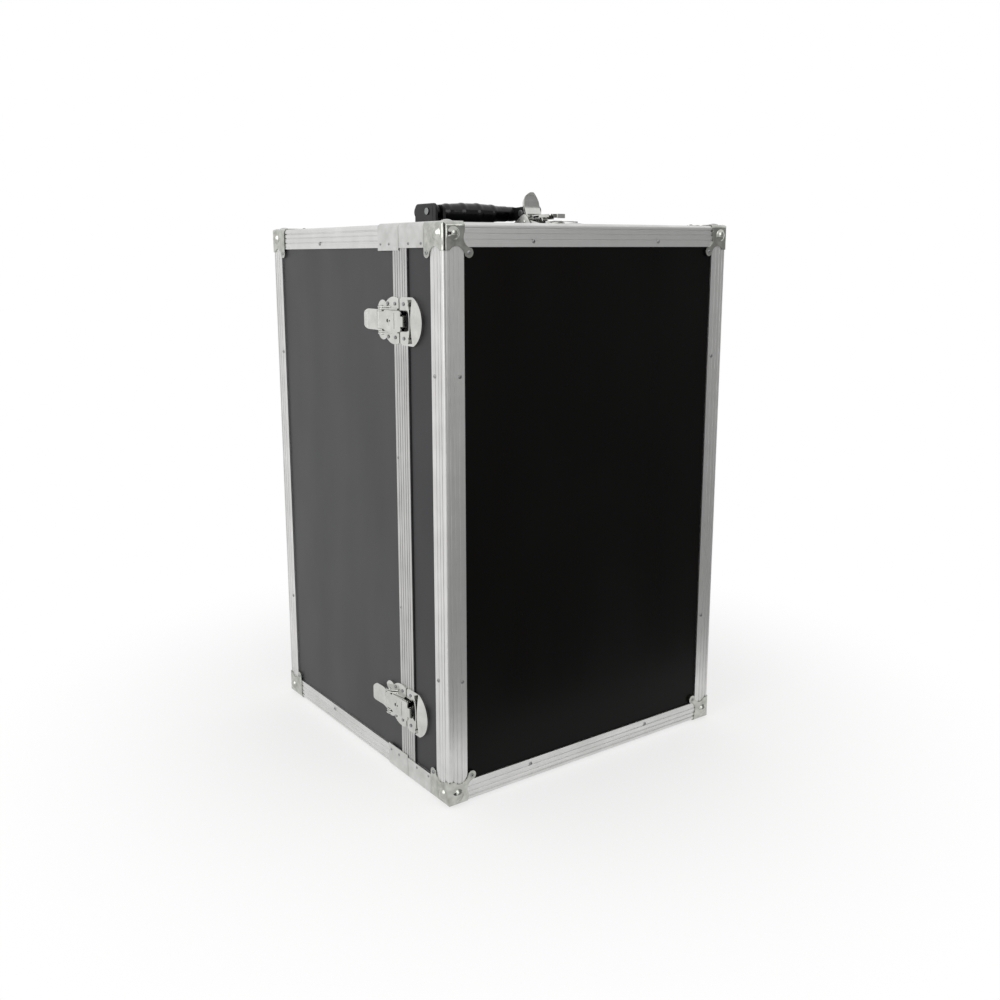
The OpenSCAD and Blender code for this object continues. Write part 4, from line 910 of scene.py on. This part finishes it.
class PanelsOperator(bpy.types.Operator):
    """Dress the laminated panels of the body and the cover"""

    bl_idname = "dental_unit.panels"
    bl_label = "Laminated panels"

    def execute(self, context):
        for node in ("left_wall", "right_wall", "top_wall", "bottom_wall", "back_wall"):
            dress(node, "black_laminate")
        dress("cover_boards", "cover_laminate")
        # The front panel takes the copy of the laminate darkened with painted shade
        dress("cover_panel", "shaded_front_laminate")
        return {"FINISHED"}


class EdgesOperator(bpy.types.Operator):
    """Build the grooved edge trims, the seam rims and the foam seal"""

    bl_idname = "dental_unit.edges"
    bl_label = "Edge trims and rims"

    def execute(self, context):
        trims("body_trims", "case_body", "body_edge_trims")
        trims("cover_trims", "cover", "cover_edge_trims")
        rims("body_rim", "case_body", "body_seam_rim")
        rims("cover_rim", "cover", "cover_seam_rim")
        dress("cover_seal", "seal_foam")
        # Painted shadow: a black rubber strip along each side of the cover stands in for the shadow
        # line that falls beside the proud seam rim
        y = SEAM_Y - 14.6
        low, high = Z0 + 25, Z1 - 25
        shadow_strips = [(block((x - 0.7, y - 1.3, low), (x + 0.7, y + 1.3, high), 0.5), spot())
                 for x in (-XW + 1.6, XW - 1.6)]
        piece("rim_painted_shadow_strip", gathered(*shadow_strips), "cover", "mount_rubber", sharp=60)
        return {"FINISHED"}


class CapsOperator(bpy.types.Operator):
    """Build the stamped corner caps, the brace plates and the rivets"""

    bl_idname = "dental_unit.caps"
    bl_label = "Caps, braces and rivets"

    def execute(self, context):
        caps("body_corners", "case_body")
        caps("cover_corners", "cover")
        refine("body_braces", "case_body", "satin_steel", 0.35)
        refine("cover_braces", "cover", "satin_steel", 0.35)
        rivets("body_rivets", "case_body", "body_rivet_heads")
        rivets("cover_rivets", "cover", "cover_rivet_heads")
        return {"FINISHED"}


class HingesOperator(bpy.types.Operator):
    """Build the three hinges on the right side"""

    bl_idname = "dental_unit.hinges"
    bl_label = "Hinges"

    def execute(self, context):
        refine("hinge_body_leaves", "case_body", "satin_steel", 0.25)
        refine("hinge_cover_leaves", "cover", "satin_steel", 0.25)
        refine("hinge_pins", "case_body", "zinc_rivet", 0.2)
        for body, side in (("case_body", 1), ("cover", -1)):
            screws(body + "_hinge_screws", body,
                   [(2.4, 0.9, spot(XW + 1.6, SEAM_Y + side * 8.3, middle + along) @ OUT["R"],
                     31 * index + middle)
                    for middle in HINGE_Z for index, along in enumerate((-24, 0, 24))])
        return {"FINISHED"}


class LatchesOperator(bpy.types.Operator):
    """Build the three draw latches"""

    bl_idname = "dental_unit.latches"
    bl_label = "Draw latches"

    def execute(self, context):
        rounding = context.scene.dental_unit_sizes.edge / MM
        refine("latch_bases", "case_body", "plated_steel", rounding, segments=3)
        refine("latch_keepers", "cover", "plated_steel", rounding, segments=3)
        guards, base_heads, keeper_heads = [], [], []
        for name, place, lift in LATCHES:
            pivot = place @ spot(0, PIVOT_Y, PIVOT_Z)
            lever(name, pivot @ rotated(lift, "X"))
            refine(name + "_hook", name + "_latch_hook", "plated_steel", rounding, segments=3)
            hook_skirts(name, place, lift)
            crest = HIGH_CREST if name == "top" else LOW_CREST
            for side, face in ((-1, "L"), (1, "R")):
                guards += [(guard_cheek(crest), place @ spot(side * GUARD_X - GUARD_T / 2)),
                           (turned(PIN_HEAD, 20), pivot @ spot(side * 15.35) @ OUT[face])]
                base_heads += [(2.0, 0.9, place @ spot(side * 18.3, along, 1.6), turn * side)
                               for along, turn in ((9, 20), (24, 65))]
                keeper_heads.append((2.0, 0.9, place @ spot(side * 18.5, -9, 1.6), 40 * side))
        piece("latch_guards", gathered(*guards), "case_body", "plated_steel", edge_mm=0.3)
        screws("latch_base_screws", "case_body", base_heads)
        screws("latch_keeper_screws", "cover", keeper_heads)
        return {"FINISHED"}


class HandleOperator(bpy.types.Operator):
    """Build the folding carrying handle"""

    bl_idname = "dental_unit.handle"
    bl_label = "Carrying handle"

    def execute(self, context):
        refine("handle_brackets", "case_body", "handle_plastic", 1.0, segments=3)
        refine("handle_grip", "grip", "handle_plastic", 0.9, segments=3, sharp=40)
        refine("handle_pins", "case_body", "zinc_rivet", 0.4)
        plates = [(end_plate(), spot(side * PLATE_X - PLATE_T / 2, 0, Z1)) for side in (-1, 1)]
        piece("handle_end_plates", gathered(*plates), "case_body", "handle_plastic", edge_mm=1.1,
              segments=3)
        screws("handle_screws", "case_body",
               [(3.0, 1.5, spot(x, along, Z1 + 3), turn)
                for x in (-BRACKET_X, BRACKET_X) for turn, along in ((15, 12), (70, 32))])
        piece("grip_sleeve", grip_sleeve(), "grip", "sleeve_rubber", sharp=50,
              place=spot(0, GRIP_Y, Z1 + GRIP_Z) @ OUT["R"])
        return {"FINISHED"}


class ControlsOperator(bpy.types.Operator):
    """Build the control panel with its gauge, switch, valves, outlets and rack"""

    bl_idname = "dental_unit.controls"
    bl_label = "Control panel"

    def execute(self, context):
        for node, slot in (("fascia", "panel_paint"), ("gauge_lens", "clear_lens"),
                           ("gauge_dial", "gauge_white"), ("gauge_needle", "needle_red"),
                           ("valve_bodies", "valve_brass")):
            dress(node, slot)
        refine_case(("gauge_case", "plated_steel", 0.3), ("switch_frame", "black_plastic", 0.6))
        refine("power_rocker", "rocker", "rocker_red", 0.6)
        refine("water_knob", "water_control", "knob_blue", 0.4)
        refine("air_knob", "air_control", "knob_green", 0.4)
        refine_case(("outlets", "plated_steel", 0.25))
        refine("handpiece_rack", "case_body", "rack_white", 1.2, segments=3)
        gauge_print()
        switch_print()
        valve_print()
        outlet_fittings()
        sides = (-1, 1)
        heads = [(3.6, 1.7, on_fascia(side * 188, z), z + side * 20)
                 for side in sides for z in (322, 468, 614)]
        heads += [(3.0, 1.5, on_fascia(RACK_X + side * 80, RACK_Z, 4), 33 * side)
                  for side in sides]
        screws("fascia_screws", "case_body", heads)
        liners = [(ring_band(8.9, 10.4, -44, 224, 368.2, 376.4, 40),
                   spot(RACK_X + (index - 1.5) * 40, -125)) for index in range(4)]
        piece("rack_liners", gathered(*liners), "case_body", "mount_rubber", edge_mm=0.3)
        return {"FINISHED"}


class BottlesOperator(bpy.types.Operator):
    """Build the clean water bottle, the waste bottle and their caps"""

    bl_idname = "dental_unit.bottles"
    bl_label = "Bottles"

    def execute(self, context):
        refine("water_bottle", "clean_water", "bottle_clear", 0.0, sharp=60)
        refine("waste_bottle", "case_body", "bottle_clear", 0.0, sharp=60)
        refine_case(("bottle_cap", "cap_blue", 0.4), ("waste_cap", "cap_grey", 0.4))
        graduations("water_marks", "clean_water", WATER_BOTTLE, WATER_R, 118, 13, 9)
        graduations("waste_marks", "case_body", WASTE_BOTTLE, WASTE_R, 34, 14, 9)
        fill = turned([(0, 101.9), (33, 101.9), (35.4, 104.5), (35.4, 208), (0, 208)], 48)
        tube = turned([(0, 107), (2.6, 107), (2.6, 268), (0, 268)], 20)
        for name, shape, slot in (("water_fill", fill, "water_fill"),
                                  ("dip_tube", tube, "rack_white")):
            piece(name, shape, "case_body", slot, sharp=50, place=spot(*WATER_BOTTLE))
        return {"FINISHED"}


class PedalOperator(bpy.types.Operator):
    """Build the foot control"""

    bl_idname = "dental_unit.pedal"
    bl_label = "Foot control"

    def execute(self, context):
        refine("pedal_base", "case_body", "pedal_grey", 0.8, segments=3)
        refine("pedal_plate", "pedal", "black_plastic", 0.8, segments=3)
        treads = []
        for radius in (8, 15, 22, 29):
            level = 49.8 - 2.0 * radius / 34
            low, high = level - 0.6, level + 1.2
            profile = [(radius - 1.5, low), (radius - 1.1, high), (radius + 1.1, high - 0.1),
                       (radius + 1.5, low), (radius - 1.5, low)]
            treads.append((turned(profile, 56), spot(*PEDAL_AT)))
        piece("pedal_treads", gathered(*treads), "pedal", "mount_rubber", edge_mm=0.3)
        return {"FINISHED"}


class MachineOperator(bpy.types.Operator):
    """Build the inner frame, the compressor, the air tank and the fittings on the back"""

    bl_idname = "dental_unit.machine"
    bl_label = "Compressor and frame"

    def execute(self, context):
        dress("shelf", "shelf_steel")
        dress("bulkhead", "shelf_steel")
        refine_case(("compressor_motor", "motor_paint", 0.8),
                    ("compressor_head", "cast_alloy", 0.5),
                    ("compressor_mounts", "mount_rubber", 0.4), ("air_tank", "tank_paint", 0.0),
                    ("power_inlet", "black_plastic", 0.6), ("fan_frame", "black_plastic", 0.5),
                    ("fan_guard", "zinc_rivet", 0.4))
        refine("fan_rotor", "fan", "black_plastic", 0.3)
        heads = []
        for (x, z), reach_x, reach_z, y, twist in ((INLET_AT, 24.5, 29, YB, 1),
                                                   (FAN_AT, 29, 29, YB - 0.4, 2)):
            heads += [(2.7, 1.3, spot(x + i, y, z + j) @ OUT["K"], twist * i + j)
                      for i in (-reach_x, reach_x) for j in (-reach_z, reach_z)]
        screws("back_screws", "case_body", heads)
        pins = [(block((x - 1.1, 186, z), (x + 1.1, 199.5, z + 6.5), 0.4), spot())
                for x, z in ((-127, 77), (-113, 77), (-120, 84))]
        piece("inlet_pins", gathered(*pins), "case_body", "valve_brass", sharp=40)
        piece("fuse_drawer", block((-132.4, 200.5, 51), (-107.6, 203.6, 62), 0.5), "case_body",
              "black_plastic", sharp=40)
        piece("cover_lining", foam_slab(), "cover", "lining_foam", sharp=80)
        return {"FINISHED"}


# ---------- the studio ----------

# The photograph's camera, from a fit to the case's edges: place in mm, angles in degrees
CAMERA_AT = (-805.76, -1110.21, 610.34)
CAMERA_AZ, CAMERA_EL, CAMERA_ROLL = -34.8936, 11.2834, -0.3081
CAMERA_LENS = 38.054
CAMERA_SHIFT = (0.0273, -0.0349)


def photograph_camera():
    az, el, roll = (math.radians(a) for a in (CAMERA_AZ, CAMERA_EL, CAMERA_ROLL))
    ahead = Vector((-math.sin(az) * math.cos(el), math.cos(az) * math.cos(el), -math.sin(el)))
    right = Vector((math.cos(az), math.sin(az), 0))
    up = right.cross(ahead)
    tilted_right = math.cos(roll) * right + math.sin(roll) * up
    tilted_up = -math.sin(roll) * right + math.cos(roll) * up
    data = bpy.data.cameras.new("camera")
    data.lens = CAMERA_LENS
    data.sensor_width = 36
    data.shift_x, data.shift_y = CAMERA_SHIFT
    camera = in_scene("camera", data)
    turn = Matrix((tilted_right, tilted_up, -ahead)).transposed().to_4x4()
    camera.matrix_world = Matrix.Translation(Vector(CAMERA_AT) * MM) @ turn
    bpy.context.scene.camera = camera


def soft_light(name, at, aim, size, power, colour="#ffffff"):
    data = bpy.data.lights.new(name, "AREA")
    data.shape = "DISK"
    data.size = size
    data.energy = power
    data.color = linear(colour)[:3]
    light = in_scene(name, data)
    light.location = at
    light.rotation_euler = (Vector(aim) - Vector(at)).to_track_quat("-Z", "Y").to_euler()


def bare_tree(holder):
    """The emptied node tree of a material or a world."""
    holder.use_nodes = True
    holder.node_tree.nodes.clear()
    return holder.node_tree


def studio_floor(colour):
    """A pale floor that turns to the background's white away from the object."""
    shape = bmesh.new()
    bmesh.ops.create_circle(shape, cap_ends=True, radius=9, segments=96)
    floor = in_scene("studio_floor", mesh_of(shape, "studio_floor"))
    material = bpy.data.materials.new("painted_studio_floor")
    tree = bare_tree(material)
    paint = add(tree, "BsdfDiffuse", {"Color": colour})
    white = add(tree, "Emission", {"Strength": 1.0})
    place = add(tree, "TexCoord")
    reach = add(tree, "VectorMath", {0: (place, "Object")}, operation="LENGTH")
    far = add(tree, "MapRange", {"Value": (reach, "Value"), "From Min": 0.26, "From Max": 0.72,
                                 "To Min": 0.62}, interpolation_type="SMOOTHSTEP")
    seen = seen_directly(tree)
    share = add(tree, "Math", {0: (far, "Result"), 1: (seen, "Value")}, operation="MULTIPLY")
    both = add(tree, "MixShader", {0: (share, "Value"), 1: (paint, "BSDF"), 2: (white, "Emission")})
    add(tree, "OutputMaterial", {"Surface": (both, "Shader")})
    floor.data.materials.append(material)


def seen_directly(tree):
    """1 for rays from the camera, from a mirror-like reflection or through glass."""
    path = add(tree, "LightPath")
    first = add(tree, "Math", {0: (path, "Is Camera Ray"), 1: (path, "Is Glossy Ray")},
                operation="MAXIMUM")
    return add(tree, "Math", {0: (first, "Value"), 1: (path, "Is Transmission Ray")},
               operation="MAXIMUM")


def dark_card(name, at, aim, width, height, level):
    """A grey card that only reflections see, which gives the metal its dark edges."""
    shape = bmesh.new()
    bmesh.ops.create_grid(shape, x_segments=1, y_segments=1, size=0.5)
    bmesh.ops.scale(shape, vec=(width, height, 1), verts=shape.verts)
    turn = (Vector(aim) - Vector(at)).to_track_quat("Z", "Y").to_matrix().to_4x4()
    shape.transform(Matrix.Translation(at) @ turn)
    card = in_scene(name, mesh_of(shape, name))
    material = bpy.data.materials.new("grey_card")
    tree = bare_tree(material)
    glow = add(tree, "Emission", {"Color": (level, level, level, 1), "Strength": 1.0})
    add(tree, "OutputMaterial", {"Surface": (glow, "Emission")})
    card.data.materials.append(material)
    card.visible_camera = False
    card.visible_diffuse = False
    card.visible_shadow = False
    card.visible_transmission = False


class StudioOperator(bpy.types.Operator):
    """Build the pale floor, the soft lights, the surround and the camera"""

    bl_idname = "dental_unit.studio"
    bl_label = "Studio"

    def execute(self, context):
        scene = context.scene
        sizes, colours = scene.dental_unit_sizes, scene.dental_unit_colours
        scene.view_settings.view_transform = "Standard"
        photograph_camera()
        studio_floor(tuple(colours.floor))
        soft_light("key_light", (-2.9, -0.1, 1.6), (0, 0, 0.35), 2.6, sizes.key_power)
        soft_light("fill_light", (0.6, -2.6, 1.6), (0, 0, 0.3), 1.5, sizes.fill_power)
        dark_card("card_front_right", (2.2, -2.5, 1.1), (0, 0, 0.4), 4.6, 2.6, 0.35)
        dark_card("card_front_floor", (0.9, -1.45, 0.004), (0.9, -1.45, 1), 3.4, 2.2, 0.3)
        dark_card("card_front_left", (-1.6, -2.1, 0.8), (0, 0, 0.4), 1.8, 1.9, 0.06)
        world = bpy.data.worlds.new("surround")
        scene.world = world
        tree = bare_tree(world)
        even = add(tree, "Background", {"Color": linear("#ffffff"), "Strength": sizes.surround})
        white = add(tree, "Background", {"Color": linear("#ffffff"), "Strength": 1.0})
        both = add(tree, "MixShader", {0: (seen_directly(tree), "Value"), 1: (even, "Background"),
                                       2: (white, "Background")})
        add(tree, "OutputWorld", {"Surface": (both, "Shader")})
        return {"FINISHED"}


OPERATORS = (PanelsOperator, EdgesOperator, CapsOperator, HingesOperator, LatchesOperator,
             HandleOperator, ControlsOperator, BottlesOperator, PedalOperator, MachineOperator,
             StudioOperator)


class UnitPanel(bpy.types.Panel):
    """Lists the pieces of the dental unit"""

    bl_idname = "DENTAL_UNIT_PT_pieces"
    bl_label = "Dental unit"
    bl_space_type = "VIEW_3D"
    bl_region_type = "UI"
    bl_category = "Dental unit"

    def draw(self, context):
        column = self.layout.column()
        for group in (context.scene.dental_unit_sizes, context.scene.dental_unit_colours):
            for name in group.__annotations__:
                column.prop(group, name)
        for operator in OPERATORS:
            column.operator(operator.bl_idname)


CLASSES = (UnitSizes, UnitColours, *OPERATORS, UnitPanel)


def register():
    for item in CLASSES:
        bpy.utils.register_class(item)
    bpy.types.Scene.dental_unit_sizes = bpy.props.PointerProperty(type=UnitSizes)
    bpy.types.Scene.dental_unit_colours = bpy.props.PointerProperty(type=UnitColours)


def unregister():
    del bpy.types.Scene.dental_unit_colours
    del bpy.types.Scene.dental_unit_sizes
    for item in reversed(CLASSES):
        bpy.utils.unregister_class(item)


def main():
    register()
    for operator in OPERATORS:
        group, name = operator.bl_idname.split(".")
        getattr(getattr(bpy.ops, group), name)()


if __name__ == "__main__":
    main()
